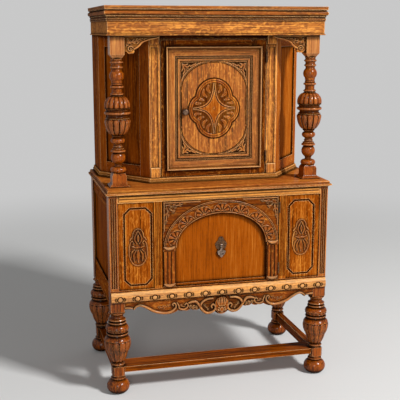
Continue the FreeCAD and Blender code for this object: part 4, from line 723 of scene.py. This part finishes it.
for side in SIDES:
    name, mirror, shell = "column_" + side, side == "left", Shell()
    shell.add(square_grid(COLUMN_X, COLUMN_Y, PLINTH), mirror=mirror)
    rows = [(r * COLUMN_RADIUS, COLUMN_LOW + z * (COLUMN_HIGH - COLUMN_LOW), bow) for r, z, bow in COLUMN]
    shell.add(*turned_grid(sampled(rows, 1.6), COLUMN_X, COLUMN_Y, 168, COLUMN_CARVING), mirror=mirror)
    shell.add(square_grid(COLUMN_X, COLUMN_Y, TOP_BLOCK), mirror=mirror)
    shell.make(name + "_carved", name, slot="oak_turned", replaces=True, angle=32.0)

# %% [markdown]
# ## Relief carving
#
# A carver sets in the outline of a leaf with gouges, lowers the ground round it and rounds what is
# left. The result is a height over the board, so a carving is made here as heights over an even
# grid: rounded ridges along smooth lines for stems and petals, V cuts along others for veins. The
# highest ridge counts at each point, which leaves the sharp valley that a gouge leaves between two
# petals. Where nothing is carved the sheet dips under the face of the board and is left out.

# %% Relief tools
BELOW, GROUND = -0.4, 0.2


def smooth_line(points, step=0.8):
    """A smooth line through rows of (across, up, half width). Between two rows p1 and p2 it is
    p1 + t (p2 - p0) / 2 and the square and cube terms that meet p2 with the slope (p3 - p1) / 2."""
    rows = np.asarray(points, float)
    padded = np.concatenate([2 * rows[:1] - rows[1:2], rows, 2 * rows[-1:] - rows[-2:-1]])
    parts = [rows[:1]]
    for p0, p1, p2, p3 in zip(padded[:-3], padded[1:-2], padded[2:-1], padded[3:]):
        count = max(2, int(math.hypot(*(p2 - p1)[:2]) / step) + 1)
        t = np.arange(1, count + 1)[:, None] / count
        parts.append(0.5 * (2 * p1 + (p2 - p0) * t + (2 * p0 - 5 * p1 + 4 * p2 - p3) * t ** 2
                            + (3 * p1 - p0 - 3 * p2 + p3) * t ** 3))
    return np.concatenate(parts)


def blurred(height, reach):
    """The mean over a square about each point, taken from running sums along both ways."""
    for _ in range(2):
        sums = np.cumsum(np.pad(height, ((reach + 1, reach), (0, 0)), mode="edge"), axis=0)
        height = ((sums[2 * reach + 1:] - sums[:-2 * reach - 1]) / (2 * reach + 1)).T
    return height


class Relief:
    """Carved heights over an even grid, in millimetres above the face of the board."""

    def __init__(self, left, right, low, high, pitch=1.15):
        self.across, self.up = (np.linspace(start, end, int(round((end - start) / pitch)) + 1)
                                for start, end in ((left, right), (low, high)))
        self.u, self.v = np.meshgrid(self.across, self.up)
        self.height, self.shade_and_polish = np.full(self.u.shape, BELOW), np.zeros(self.u.shape)

    def near(self, u, v, reach):
        """The part of the grid about a point, and the distances there."""
        part = (slice(*np.searchsorted(self.up, (v - reach, v + reach))),
                slice(*np.searchsorted(self.across, (u - reach, u + reach))))
        return part, np.hypot(self.u[part] - u, self.v[part] - v)

    def put(self, where, height=None, shade_and_polish=None):
        """Gives a region a height and a darkness from painted shade and dark polish."""
        self.height = self.height if height is None else np.where(where, height, self.height)
        self.shade_and_polish = self.shade_and_polish if shade_and_polish is None else np.where(where, shade_and_polish, self.shade_and_polish)

    def fill(self, where, level=GROUND, shade_and_polish=0.0):
        """Raises a region to a level where it is lower."""
        self.put(where & (self.height < level), level, shade_and_polish)

    def ridge(self, points, lift, level=0.0, power=0.5):
        """A rounded ridge along a smooth line of (across, up, half width w): at a distance d from it
        the height is level + lift (1 - d^2 / w^2)^power."""
        for u, v, w in smooth_line(points):
            part, d = self.near(u, v, w)
            crown = np.where(d < w, level + lift * np.clip(1.0 - (d / w) ** 2, 0.0, 1.0) ** power, BELOW)
            self.shade_and_polish[part] *= 1.0 - smooth_step(0.1, 1.2, crown - self.height[part])
            self.height[part] = np.maximum(self.height[part], crown)

    def groove(self, points, depth, shade_and_polish=0.9):
        """A V cut along a smooth line of (across, up, half width), darkened at its bottom with painted
        shade.
        """
        cut = np.zeros_like(self.height)
        for u, v, w in smooth_line(points):
            part, d = self.near(u, v, w)
            cut[part] = np.maximum(cut[part], np.clip(1.0 - d / w, 0.0, 1.0))
        self.put(self.height > BELOW, np.maximum(self.height - cut * depth, 0.05))
        self.shade_and_polish = np.maximum(self.shade_and_polish, cut * shade_and_polish)

    def veined(self, points, lift, level, depth):
        """A ridge with a narrow cut along its middle."""
        self.ridge(points, lift, level)
        self.groove([(u, v, 1.6) for u, v, w in points], depth, 0.8)

    def leaf(self, points, lift, count):
        """A leaf along a smooth line: a midrib, and on both sides lobes that curl forward."""
        line = smooth_line(points)
        self.ridge([(u, v, w * 0.5) for u, v, w in points], lift)
        for number in range(int(count)):
            k = int((len(line) - 3) * (0.10 + 0.72 * number / max(count - 1, 1)))
            u, v, w = line[k]
            du, dv = (line[k + 2, :2] - line[k, :2]) / math.hypot(*(line[k + 2, :2] - line[k, :2]))
            for side in (-1, 1):
                knee, tip = ((u - dv * side * w * out + du * w * on, v + du * side * w * out + dv * w * on)
                             for out, on in ((0.75, 0.35), (0.9, 1.2)))
                self.ridge([(u, v, w * 0.30), (*knee, w * 0.38), (*tip, w * 0.22)], lift * 0.85)
        self.groove([(u, v, 1.3) for u, v, w in points[:-1]], lift * 0.45, 0.5)

    def volute(self, middle, radius, start, sweep, lift, level=0.0):
        """A ridge that winds inward from an angle through a sweep, both in degrees, to a round eye. The
        one row of middle is the eye: across, up and half width."""
        u, v, width = middle[0]
        share = np.linspace(0.0, 1.0, 15)
        angle, reach = np.radians(start + sweep * share), radius * (1.0 - 0.66 * share)
        self.ridge(np.stack([u + reach * np.cos(angle), v + reach * np.sin(angle),
                             width * (1.0 - 0.4 * share)], axis=1), lift, level)
        self.ridge([(u, v, width), (u + 0.2, v, width)], lift, level)

    def carve(self, drawing, origin=(0.0, 0.0), scale=(1.0, 1.0)):
        """Carves strokes from text, with ; between them: the tool and its numbers, a colon, and rows of
        (across, up, half width), counted from the origin in units of the scale."""
        tools = {"ridge": self.ridge, "groove": self.groove, "veined": self.veined, "leaf": self.leaf,
                 "volute": self.volute}
        for stroke in drawing.split(";"):
            words, rows = stroke.split(":")
            tool, *numbers = words.split()
            points = np.multiply(rows_of(rows), (*scale, 1.0)) + (*origin, 0.0)
            tools[tool](points, *map(float, numbers))

    def both_sides(self):
        """The same carving on both sides of the middle of the grid."""
        self.height = np.maximum(self.height, self.height[:, ::-1])
        self.shade_and_polish = np.maximum(self.shade_and_polish, self.shade_and_polish[:, ::-1])

    def sheet(self, shell, place, sides=1, ends=1, reach=4, deep=1.5):
        """Adds the carving to a shell, and its mirror image too where sides or ends is 2; place gives
        the point for (across, up, height). Where the surface lies under its own mean it is darkened with
        painted shade and polish, and where it stands above it it is paled with wear and a painted
        highlight."""
        dip = blurred(self.height, reach) - self.height
        # Painted shade in the dips and a painted highlight on the rises.
        hollow = np.maximum(smooth_step(0.1, deep, dip) * 0.9, self.shade_and_polish)
        crest = smooth_step(0.25, deep * 1.3, -dip) * 0.24 * (1.0 - self.shade_and_polish)
        for way in (1, -1)[:ends]:
            grid = np.dstack(place(self.u, way * self.v, self.height))
            parts = [part[::way] for part in (grid, hollow, crest)]
            for mirror in (False, True)[:sides]:
                shell.add(*parts, closed=False, mirror=mirror, shown=(self.height > 0.0)[::way])
        return shell


def on_face(front, across=0.0, up=0.0):
    """Places a carving on an upright board: the y of its face, and where the carving's own zero is."""
    return lambda u, v, h: (u + across, front - h, v + up)


print("relief tools ready")

# %% [markdown]
# ## The scalloped apron
#
# The board under the case is sawn to a row of waves, and a rounded stem follows its lower edge. It
# swings up into two large scrolls, which hold a shell over a plain plaque between them.

# %% Apron carving
APRON_TOP, APRON_FRONT, SHELL_BASE, SHELL_LEVEL = 403.0, -279.0, 358.0, 9.8
# Stems, then leaves, with up counted from the top of the apron.
APRON = """
    ridge 9: 383 -28 3.2, 377 -20 4.4, 362 -13.5 5.4, 346 -16 6, 322 -28 6.2, 298 -43 6.4, 270 -52 6.4,
        243 -55.5 6.4, 220 -50 6, 205 -37 5.2, 202 -24 4.6, 209 -15 4, 217 -19 3.6, 213 -26 3.4;
    ridge 6: 421 -20 4, 403 -21 4.4, 389 -24 3.4;
    ridge 7.5: 197 -15 3.2, 190 -27 4, 186 -40 4.8, 170 -46 5.2, 155 -40 4.8, 149 -28 4.2, 156 -20 3.6,
        163 -26 3.2;
    ridge 10: 147 -19 4, 130 -15 6.2, 113 -17 6.8, 100 -33 6.4, 88 -52 6.2, 73 -66 6.2, 58 -70.5 6.2,
        41 -67 6, 30 -57 5.4, 28 -43 5, 37 -34 4.6, 46 -40 4.2, 43 -49 3.8;
    ridge 9: 40 -7 4.6, 57 -7.5 5.2, 74 -12 5.6, 88 -23 5.8, 95 -37 5.4;
    leaf 6.5 3: 146 -33 6, 132 -38 8, 117 -41 7, 106 -40 4;
    leaf 4 2: 183 -28 5, 172 -33 6, 160 -33 4;
    leaf 2.6 3: 228 -22 5, 243 -28 7, 262 -32 6, 280 -27 3;
    leaf 4.5 2: 58 -60 4, 63 -50 6, 72 -42 5, 78 -32 3"""
apron = Relief(-422.0, 422.0, 322.5, 402.5, 1.2)
# The grounds behind the large and the small scroll are darkened with painted shade and polish.
for (u, v), (wide, high), shade_and_polish in (((60, 364), (33, 30), 0.65), ((172, 375), (15, 14), 0.4)):
    apron.fill(np.hypot((apron.u - u) / wide, (apron.v - v) / high) < 1, GROUND, shade_and_polish)
apron.carve(APRON, (0.0, APRON_TOP))
for tilt in (0.0, 0.42, 0.84):
    side, up = math.sin(tilt), math.cos(tilt)
    apron.ridge([(2 + 12 * side, SHELL_BASE + 4 * up, 2.0), (3 + 30 * side * 0.6, SHELL_BASE + 17, 3.6),
                 (34 * side * 0.75, SHELL_BASE + 38 * up ** 0.6, 2.6)], 3.2, SHELL_LEVEL)
apron.carve("volute 8.5 80 330 3 9.8: 14.5 346 2.8; ridge 2.4 9.8 .3: 0 352 6, 0 343 7.5, 0 334 5")
apron.both_sides()
apron.sheet(Shell(), on_face(APRON_FRONT)).make("apron_relief", "apron")

# %% [markdown]
# ## The egg band
#
# Across the foot of the case runs a bowed band under a sloped fillet. Thirteen eggs are cut into
# its lower half, each between pairs of curved gouge cuts.

# %% Egg band
STRIP_LOW, STRIP_HIGH, STRIP_FRONT, STRIP_HALF = 411.0, 453.0, -281.0, 478.0
BAND_HIGH, BAND_FACE, BAND_BOW, BAND_EDGE, BAND_BACK = 440.0, -290.0, 3.0, -285.0, -283.0
FILLET_LOW, FILLET_FROM, FILLET_TO, EGG_PROUD = 441.2, -289.4, -284.0, 1.5
EGGS, EGG_WIDE, EGG_HIGH, EGG_MIDDLE = 13, 10.0, 9.0, 423.0


def egg_band():
    """The band as a loop of (y, z) carried along x. An egg is the top of an ellipsoid; the cuts are
    rings about it, of which only the part beside the egg is kept. Gives the grid, its hollows and
    its crests."""
    bowed = np.linspace(0.0, 1.0, 25)
    band = np.stack([BAND_FACE - BAND_BOW * np.sin(np.pi * bowed) ** 0.7,
                     STRIP_LOW + bowed * (BAND_HIGH - STRIP_LOW)], axis=1)
    fillet = np.linspace((FILLET_FROM, FILLET_LOW), (FILLET_TO, STRIP_HIGH), 8)
    loop = np.concatenate([band, fillet, [(STRIP_FRONT, STRIP_HIGH), (STRIP_FRONT, STRIP_LOW)]])[::-1]
    x, y = np.meshgrid(np.linspace(-STRIP_HALF, STRIP_HALF, 781), loop[:, 0], indexing="ij")
    z = np.broadcast_to(loop[:, 1], x.shape)
    pitch = 2 * STRIP_HALF / EGGS
    off = np.abs(z - EGG_MIDDLE)
    ring = np.hypot(((x / pitch + 0.5) % 1.0 - 0.5) * pitch / EGG_WIDE, off / EGG_HIGH)
    on_band = ((z < BAND_HIGH) & (y < BAND_EDGE)).astype(float)
    egg = np.sqrt(np.clip(1.0 - ring ** 2, 0.0, 1.0)) * EGG_PROUD
    beside = smooth_step(1.05, 0.75, off / 9.5)
    cut = sum(smooth_step(half, 0.0, np.abs(ring - at)) * depth * share for at, half, depth, share in (
        (1.22, 0.38, 3.2, 0.45 + 0.55 * beside), (1.95, 0.34, 2.8, beside),
        (2.35, 0.14, 1.2, smooth_step(1.0, 0.5, off / 7.0))))
    worn = 0.35 * np.sin(x * 0.11 + z * 0.5) * np.sin(x * 0.037)
    carved = np.minimum(y + (cut - egg) * on_band + worn * (1 - on_band), BAND_BACK)
    y = np.where(y < BAND_BACK, carved, y)
    waves = np.sin(x * 0.033 + 2.6 * np.sin(z * 1.1)) * np.sin(x * 0.012 + z * 0.9)
    streak = smooth_step(0.15, 0.9, waves) * (1 - on_band) * (y < BAND_BACK - 0.2)
    # Painted shade in the gouge cuts, beside the fillet's own dark streaks; the eggs and the fillet are
    # paled with wear and a painted highlight.
    hollow = np.clip(cut / 1.3, 0, 0.97) * on_band + 0.40 * streak
    crest = (0.10 + 0.12 * (egg > 0.2) + 0.25 * (1 - on_band)) * (y < BAND_EDGE) * (cut < 0.3)
    return np.dstack([x, y, z]), hollow, crest


shell = Shell()
shell.add(*egg_band())
shell.make("gadroon_strip_carved", "gadroon_strip", replaces=True)

# %% [markdown]
# ## The arch on the lower door
#
# The arched board carries seven fans that stand on its inner edge. They are drawn on a straight
# strip, as long as the arch and as high as its band, and the strip is then bent round the ellipse.
# The two corners above the arch have a bar and a sprig of leaves.

# %% Arch carving
ARCH_LOW, ARCH_FACE, ARCH_HALF, ARCH_RISE, ARCH_BAND, ARCH_FANS = 632.0, -281.0, 197.0, 139.0, 55.0, 7
ARCH_LEVEL, FAN_BASE, RIM_BASE = 3.0, 7, 4
turns = np.linspace(math.pi, 0.0, 721)
arch_way = np.stack([(ARCH_HALF + 20) * np.cos(turns), (ARCH_RISE + 20) * np.sin(turns)], axis=1)
arch_run = np.concatenate([[0.0], np.cumsum(np.hypot(*np.diff(arch_way, axis=0).T))])
length = float(arch_run[-1])


def round_the_arch(u, v, h):
    """A strip bent round the arch: u along it, v outward from its inner edge."""
    turn = np.interp(u, arch_run, turns)
    return (ARCH_HALF + v) * np.cos(turn), ARCH_FACE - h, ARCH_LOW + (ARCH_RISE + v) * np.sin(turn)


band = Relief(0.0, length, 0.0, ARCH_BAND, 1.25)
# The band's ground, the ground round each fan and the bottoms of the cut lines are darkened with painted
# shade and polish.
band.fill(band.v >= 0, 3.15, 0.15)
for number in range(ARCH_FANS):
    middle = (number + 0.5) * (length / ARCH_FANS)
    band.fill(np.hypot(band.u - middle, band.v - RIM_BASE) < 37.5, 3.2, 0.55)
    for lean, reach in zip(np.radians([-72, -36, 0, 36, 72]), (33.0, 36.0, 36.0, 36.0, 33.0)):
        side, up = math.sin(lean), math.cos(lean)
        band.ridge([(middle + side * 9, FAN_BASE + up * 7, 1.6),
                    (middle + side * reach * 0.66, FAN_BASE + up * reach * 0.68, 6.2),
                    (middle + side * reach * 0.86, FAN_BASE + up * reach * 0.88, 6.4)], 3.4, ARCH_LEVEL)
    band.ridge([(middle - 8, 6.5, 2), (middle, 10, 5), (middle + 8, 6.5, 2)], 3.8, ARCH_LEVEL)
    band.ridge([(middle + math.sin(turn) * 39.0, RIM_BASE + math.cos(turn) * 38.0, 2.2)
                for turn in np.radians(np.linspace(-84, 84, 13))], 2.6, ARCH_LEVEL)
for level, half, lift in ((2.6, 2.6, 2.4), (47.5, 1.6, 1.6), (53.0, 1.8, 1.8)):
    band.ridge([(0, level, half), (length, level, half)], lift, ARCH_LEVEL)
for level, half, depth in ((5.6, 1.2, 1.5), (50.2, 1.6, 2.0), (45.0, 1.4, 1.6)):
    band.groove([(0, level, half), (length, level, half)], depth)
shell = Shell()
band.sheet(shell, round_the_arch)

corner = Relief(20.0, 253.0, 700.0, 828.6, 1.2)
outside = np.hypot(corner.u / (ARCH_HALF + ARCH_BAND),
                   (corner.v - ARCH_LOW) / (ARCH_RISE + ARCH_BAND)) > 0.997
# The ground of the corners, and most of all round the sprig, is darkened with painted shade and polish.
corner.fill(outside, GROUND, 0.30)
corner.carve("""
    ridge 3.2: 95 824.5 2.4, 250 824.5 2.6;
    ridge 3.2: 249.5 824 2.4, 249.5 705 2.4;
    leaf 4.2 3: 240 815 6, 222 808 9, 200 811 8, 172 817 4;
    leaf 4.2 3: 241 812 6, 235 792 9, 240 765 7, 244 735 3;
    leaf 4.6 2: 236 810 5, 220 794 8, 206 786 4""")
about_sprig = np.hypot(corner.u - 240, corner.v - 815) < 50
corner.fill(outside & (corner.height < 0.6) & (corner.height > 0) & about_sprig, 0.25, 0.55)
corner.put(~outside, BELOW)
corner.sheet(shell, on_face(ARCH_FACE), sides=2)

# Leaf pads at the head and foot of each pilaster.
pads = Relief(203.0, 254.6, 458.0, 646.0, 1.1)
for low in (630.0, 469.5):
    pads.carve("ridge 5.5 2.6: 206.5 6 3, 216 .5 5.6, 228.8 -1.5 7.2, 241.5 .5 5.6, 251 6 3", (0.0, low))
pads.sheet(shell, on_face(ARCH_FACE), sides=2, reach=7)
shell.make("arch_relief", "lower_door_arch", "lower_door")

# Three reeds between the pads.
reeds = Relief(204.2, 253.6, 474.0, 617.0, 1.1)
# The ground between the reeds is darkened with painted shade and polish.
reeds.fill(reeds.v > 0, 3.1, 0.9)
for across in (212.4, 228.9, 245.4):
    reeds.carve("ridge 2.8 3.1: 0 470 6.6, 0 620 6.6", (across, 0.0))
reeds.sheet(Shell(), on_face(ARCH_FACE), sides=2).make("lower_door_reeds", "lower_door_pilasters",
                                                       "lower_door")

# %% [markdown]
# ## Ovals of the fixed panels
#
# In the middle of each fixed panel an upright oval holds a pointed leaf over a cross band, with
# three lobes below it and a rim that ends in curls.

# %% Panel ovals
OVAL_X, OVAL_Z, OVAL_FACE = 360.5, 642.5, -277.0
# The right half: rim, upper rim, leaf, its middle, cross band and three lobes.
OVAL = """
    ridge 3.6: 0 -79 3, 17 -74 3.4, 30 -57 3.6, 37.5 -32 3.4, 38 -6 3.2, 35 12 3.2, 28 26 3.4, 20 22 3,
        21 12 2.6;
    ridge 3.6: 0 79 2.6, 12 74 3, 21 60 3.2, 23 46 3, 30 38 3.2, 34 30 3;
    ridge 4.2: 0 70 2, 7 58 3.6, 14 42 4.4, 13 28 4.6, 5 15 3.6;
    ridge 4.6: 0 52 2.4, 2.5 40 3.8, 0 24 3;
    ridge 4.2: 0 0 5, 12 -1 4.4, 25 4 3.6;
    ridge 4.4: 2 -14 3, 3 -36 5.4, 0 -64 3.2;
    ridge 4.2: 9 -14 3, 19 -34 5.4, 17 -58 3.4;
    ridge 3.8: 16 -10 2.6, 28 -24 4.4, 30 -44 3"""
oval = Relief(-41.5, 41.5, -83.0, 83.0, 1.0)
# The ground round the leaf and the lobes is darkened a little with painted shade and polish.
for wide, middle, high in ((37.0, -12, 66.0), (25.0, 45, 36.0)):
    oval.fill(np.hypot(oval.u / wide, (oval.v - middle) / high) < 1, GROUND, 0.25)
oval.carve(OVAL)
oval.both_sides()
shell = Shell()
for middle in (-OVAL_X, OVAL_X):
    oval.sheet(shell, on_face(OVAL_FACE, middle, OVAL_Z))
shell.make("panel_carvings_carved", "panel_carvings", replaces=True)

# %% [markdown]
# ## Corners of the upper door
#
# The raised oval leaves four corners of the panel sunk, and each is carved with curled leaves inside
# a thin rim. One quarter is carved here, and the other three are its mirror images.

# %% Corner carving
DOOR_PANEL, DOOR_OVAL, PANEL_W, PANEL_H = -148.0, -151.0, 147.2, 198.2
OVAL_W, OVAL_H, OVAL_STRAIGHT = 146.6, 197.6, 77.9
CORNER_LEAVES = """
    ridge 3.8: 139 189 3, 128 184 4.4, 116 188 3;
    ridge 3.8: 134 184 3, 118 176 4.6, 106 183 3.2;
    ridge 3.8: 104 178 3, 92 184 4, 80 190 2.4;
    ridge 3.8: 138 188 3, 136 172 4.4, 141 160 3;
    ridge 3.8: 134 180 3, 128 160 4.6, 135 147 3.2;
    ridge 3.8: 132 144 3, 137 131 3.6, 141 118 2.2;
    volute 7.5 60 300 3.8: 119 165 3"""


def inside_oval(carving, grow=0.0):
    """Below 1 inside the raised oval: half ellipses above and below a short straight part."""
    past = np.maximum(np.abs(carving.v) - OVAL_STRAIGHT, 0.0)
    return np.hypot(carving.u / (OVAL_W + grow), past / (OVAL_H - OVAL_STRAIGHT + grow))


quarter = Relief(0.0, PANEL_W, 0.0, PANEL_H, 1.15)
sunk = inside_oval(quarter, 0.5) > 1.0
# The sunk ground of the corners is darkened almost black with painted shade and polish.
quarter.fill(sunk, GROUND, 0.95)
quarter.fill(sunk & (inside_oval(quarter, 7.5) < 1.0) & (inside_oval(quarter, 2.6) > 1.0), 2.8)
quarter.fill(sunk & (np.maximum(quarter.u - PANEL_W, quarter.v - PANEL_H) > -3.2), 2.6, 0.1)
quarter.carve(CORNER_LEAVES)
quarter.put(~sunk, BELOW)
shell = quarter.sheet(Shell(), on_face(DOOR_PANEL, up=DOOR_MIDDLE), sides=2, ends=2)
shell.make("upper_door_spandrels", "upper_door_panel", "upper_door")

# %% [markdown]
# ## The quatrefoil
#
# On the oval lies a quatrefoil: a rounded band round a star with hollow sides, and four leaves fanned
# out in each quarter. How far a point lies inside it is the largest of the distances that it lies
# inside each of the four round lobes. A dark line of painted shade follows the foot of the
# quatrefoil, and another one, with four gaps, the edge of the oval.

# %% Quatrefoil and the lines round it
# Middle and radius of each round lobe; how far the star reaches across and up.
LOBES = [(0.0, 46.0, 81.0), (0.0, -46.0, 81.0), (46.0, -4.0, 66.5), (-46.0, -4.0, 66.5)]
STAR_W, STAR_H, FIELD = 80.0, 96.0, 18.0
FOIL_LEAVES = """
    veined 3.4 .3 1.5: 19 68 4, 29 80 7.5, 26 97 4.5;
    veined 3.4 .3 1.5: 34 50 4, 48 62 8.5, 47 80 5;
    veined 3.4 .3 1.5: 47 36 4, 65 42 8.5, 70 57 4.5;
    veined 3.4 .3 1.5: 60 22 3.5, 80 23 7.5, 89 35 4"""


def inside_foil(carving):
    """How far each point of a carving lies inside the quatrefoil."""
    return np.max([r - np.hypot(carving.u - a, carving.v - b) for a, b, r in LOBES], axis=0)


def past_star(carving):
    """About how far each point lies outside the star of sqrt(a / w) + sqrt(b / h) = 1: what the left
    side is over 1, over its slope."""
    a, b = np.maximum(np.abs(carving.u), 1.0), np.maximum(np.abs(carving.v), 1.0)
    slope = 0.5 * np.hypot(1.0 / np.sqrt(STAR_W * a), 1.0 / np.sqrt(STAR_H * b))
    return (np.sqrt(a / STAR_W) + np.sqrt(b / STAR_H) - 1.0) / slope


foil = Relief(-113.4, 113.4, -127.8, 127.8, 1.1)
inward, from_star = inside_foil(foil), past_star(foil)
field = inward > FIELD
# The sunk ground, the field round the star and the cut along the edge line are darkened with painted shade
# and polish.
foil.fill(inward > 0.5, GROUND, 0.9)
foil.fill(field, 0.4, 0.65)
for quadrant in ((1, 1), (1, -1), (-1, 1), (-1, -1)):
    foil.carve(FOIL_LEAVES, scale=quadrant)
foil.put(field & (from_star < 11.5), 0.4, 0.85)
band = np.clip(1.0 - ((from_star - 6.8) / 4.0) ** 2, 0.0, 1.0) ** 0.5
foil.put(field & (band > 0), np.maximum(foil.height, 0.5 + band * 2.9))
foil.put(field & (band > 0.35), shade_and_polish=0.0)
foil.fill(field & (from_star < 0.4), 2.7)
foil.put(~field, np.minimum(foil.height, GROUND), 0.9)
edge_line = np.clip(1.0 - ((inward - 9.5) / 7.8) ** 2, 0.0, 1.0) ** 0.35 * 2.7
middle_cut = np.clip(1.4 - np.abs(inward - 9.0) / 1.5, 0.0, 1.0)
foil.put(edge_line > 0, np.maximum(foil.height, GROUND + edge_line - middle_cut * 1.1))
foil.put(edge_line > 0.6, shade_and_polish=middle_cut * 0.85)
foil.carve("ridge 1.6 2.4: 0 0 7, .3 0 7; groove .9: -6 0 1.4, 0 7 1.4, 6 0 1.4, 0 -7 1.4, -6 0 1.4")
foil.height = np.minimum(np.where(inward > 0.5, foil.height, BELOW), 4.0)
shell = foil.sheet(Shell(), on_face(DOOR_OVAL, up=DOOR_MIDDLE), deep=1.3)
shell.make("upper_door_quatrefoil_carved", "upper_door_quatrefoil", "upper_door", replaces=True)

lines = Relief(-146.8, 146.8, -197.8, 197.8, 1.15)
rim, outward = inside_oval(lines), -inside_foil(lines)
gaps = (np.abs(np.abs(lines.u) - 26.0) < 3.0) | (np.abs(np.abs(lines.v) - 77.0) < 3.5)
# Painted shade: a dark line along the edge of the oval, with four gaps, and another at the foot of the
# quatrefoil.
lines.fill((rim < 0.998) & (rim > 0.935))
lines.put((rim > 0.962) & (rim < 0.990) & ~gaps, shade_and_polish=0.97)
lines.fill((outward > -0.8) & (outward < 4.2), GROUND, 0.95)
shell = lines.sheet(Shell(), on_face(DOOR_OVAL, up=DOOR_MIDDLE))
shell.make("upper_door_lines", "upper_door_panel", "upper_door")

# %% [markdown]
# ## Moulding of the upper door
#
# The moulding that holds the panel has a sharp outer arris and a deep hollow inside it, then a flat,
# a bead between two narrow cuts and a fillet. The hollow is what makes it look bold, since one side
# of it always lies in shade. Each length is the section carried along one side to the mitres.

# %% Door moulding
MOULD_FACE, MOULD_CUTS = -152.0, (39.6, 48.8)
# Rows of (in from the outer edge, out from the face of the frame, bow).
MOULD_SECTION = rows_of("""
    0 0 0, 0 13.2 0, 1.4 14.8 .2, 3.4 14.8 .1, 4.6 13.6 .2, 5.4 11.5 0, 9 4.2 -.1, 16 2 -.15, 37.6 2 0,
    39.6 .15 0, 41.2 2 0, 46.8 2 .42, 48.8 -2.6 0, 50.6 1 0, 58 1 0, 61.6 -3.4 .1, 61.9 -3.9 0, 0 0 0""")


def mould_length(along, across, turned):
    """One length, turned by quarters: the ends lie in further as the section does, which makes the
    mitres. Gives the grid, its hollows and its crests."""
    inset, out = sampled(MOULD_SECTION, 1.6).T[:, :, None]
    run = np.array([[1.0, -1.0]]) * (along - inset)
    rise = across - inset + 0 * run
    x, z = ((run, rise), (rise, -run), (-run, -rise), (-rise, run))[turned]
    # Painted shade in the two narrow cuts and on the steep wall of the hollow, and a painted highlight
    # with wear on the outer arris and the bead.
    cut = np.max([smooth_step(2.8, 1.0, np.abs(inset - place)) for place in MOULD_CUTS], axis=0)
    shade = smooth_step(4.6, 6.5, inset) * smooth_step(18.0, 7.0, inset) * 0.5
    crest = smooth_step(1.4, 0.2, np.abs(inset - 2.6)) * 0.25 * (out > 10)
    crest = crest + smooth_step(2.2, 0.4, np.abs(inset - 44.0)) * 0.1
    grid = np.dstack([x, MOULD_FACE - out + 0 * run, DOOR_MIDDLE + z])
    return grid, np.maximum(cut * 0.95, shade) * (out > -3.0), crest


shell = Shell()
for turned in range(4):
    sizes = (DOOR_UP, DOOR_ACROSS) if turned % 2 else (DOOR_ACROSS, DOOR_UP)
    shell.add(*mould_length(*sizes, turned), closed=False)
shell.make("upper_door_moulding_run", "upper_door_moulding", "upper_door", "oak_case", replaces=True,
           angle=38.0)

# %% [markdown]
# ## Blocks on the upper pilasters
#
# Each pilaster of the upper case has a flat block at its head and another at its foot, a few
# millimetres proud; their upper arris is paled with a painted highlight.

# %% Pilaster blocks
BLOCK_SIDES, BLOCK_ENDS, BLOCK_FACE = (237.5, 279.5), ((909.6, 953.0), (1469.0, 1506.6)), -152.0
# The upper corners of each block's chamfer get a painted highlight.
PROUD, CHAMFER, TOP_HIGHLIGHT = 4.5, 2.0, np.outer([0.0, 0.5, 0.5, 0.0], [0.0, 1.0, 1.0, 0.0])


def proud_block(low, high):
    """Rings round an upright rectangle that step out from the face and close in by the chamfer."""
    left, right = BLOCK_SIDES
    ring = np.array([[right, low], [right, high], [left, high], [left, low]], float)
    toward = np.sign(ring - ring.mean(axis=0))
    corners = [ring - toward * inset for inset in (0.0, 0.0, CHAMFER, CHAMFER * 2)]
    out = BLOCK_FACE - np.array([-0.4, PROUD - CHAMFER, PROUD, PROUD])[:, None] * np.ones(4)
    return np.insert(corners, 1, out, axis=2)


shell = Shell()
for low, high in BLOCK_ENDS:
    for mirror in (False, True):
        shell.add(proud_block(low, high), crest=TOP_HIGHLIGHT, mirror=mirror)
shell.make("upper_pilaster_blocks", "pilaster_left", slot="oak_case", angle=30.0)

# %% [markdown]
# ## Brackets
#
# Between the column blocks and the frieze sits a carved bracket on each side. A rim runs along its
# top and down its long tail and ends in a volute; leaves fill the ground inside, which is darkened
# with painted shade and polish.

# %% Brackets
BRACKET_ROOT, BRACKET_TOP, BRACKET_FRONT = 392.5, 1507.0, -205.0
# The bracket is drawn in shares of its length and drop.
BRACKET = {"origin": (BRACKET_ROOT, BRACKET_TOP), "scale": (-147.0, -71.0)}
BRACKET_GROUND = "ridge .01 .2: .05 .45 26, .20 .42 24, .32 .32 17, .50 .20 10, .70 .14 5, .88 .10 3"
BRACKET_CARVING = """
    ridge 3.6: 0 .05 3.4, .5 .05 3.2, .97 .05 2.6;
    ridge 4.2: .98 .08 2.6, .90 .14 3, .67 .24 3.8, .50 .38 4.4, .41 .58 4.4, .33 .70 4.2, .27 .76 3.6;
    volute 12 150 -430 4.6: .17 .76 3.4;
    leaf 4 4: .10 .42 6, .24 .36 8, .38 .26 6, .52 .17 3;
    leaf 3.6 3: .06 .60 5, .12 .40 6, .10 .18 4;
    leaf 3.2 2: .36 .46 4, .46 .30 5, .62 .17 3"""
bracket = Relief(246.0, BRACKET_ROOT, 1437.0, BRACKET_TOP, 1.05)
bracket.carve(BRACKET_GROUND, **BRACKET)
# The ground is darkened with painted shade and polish; the carving over it clears it.
bracket.shade_and_polish = np.where(bracket.height > 0.0, 0.6, 0.0)
bracket.carve(BRACKET_CARVING, **BRACKET)
bracket.sheet(Shell(), on_face(BRACKET_FRONT), sides=2).make("bracket_relief", "brackets")
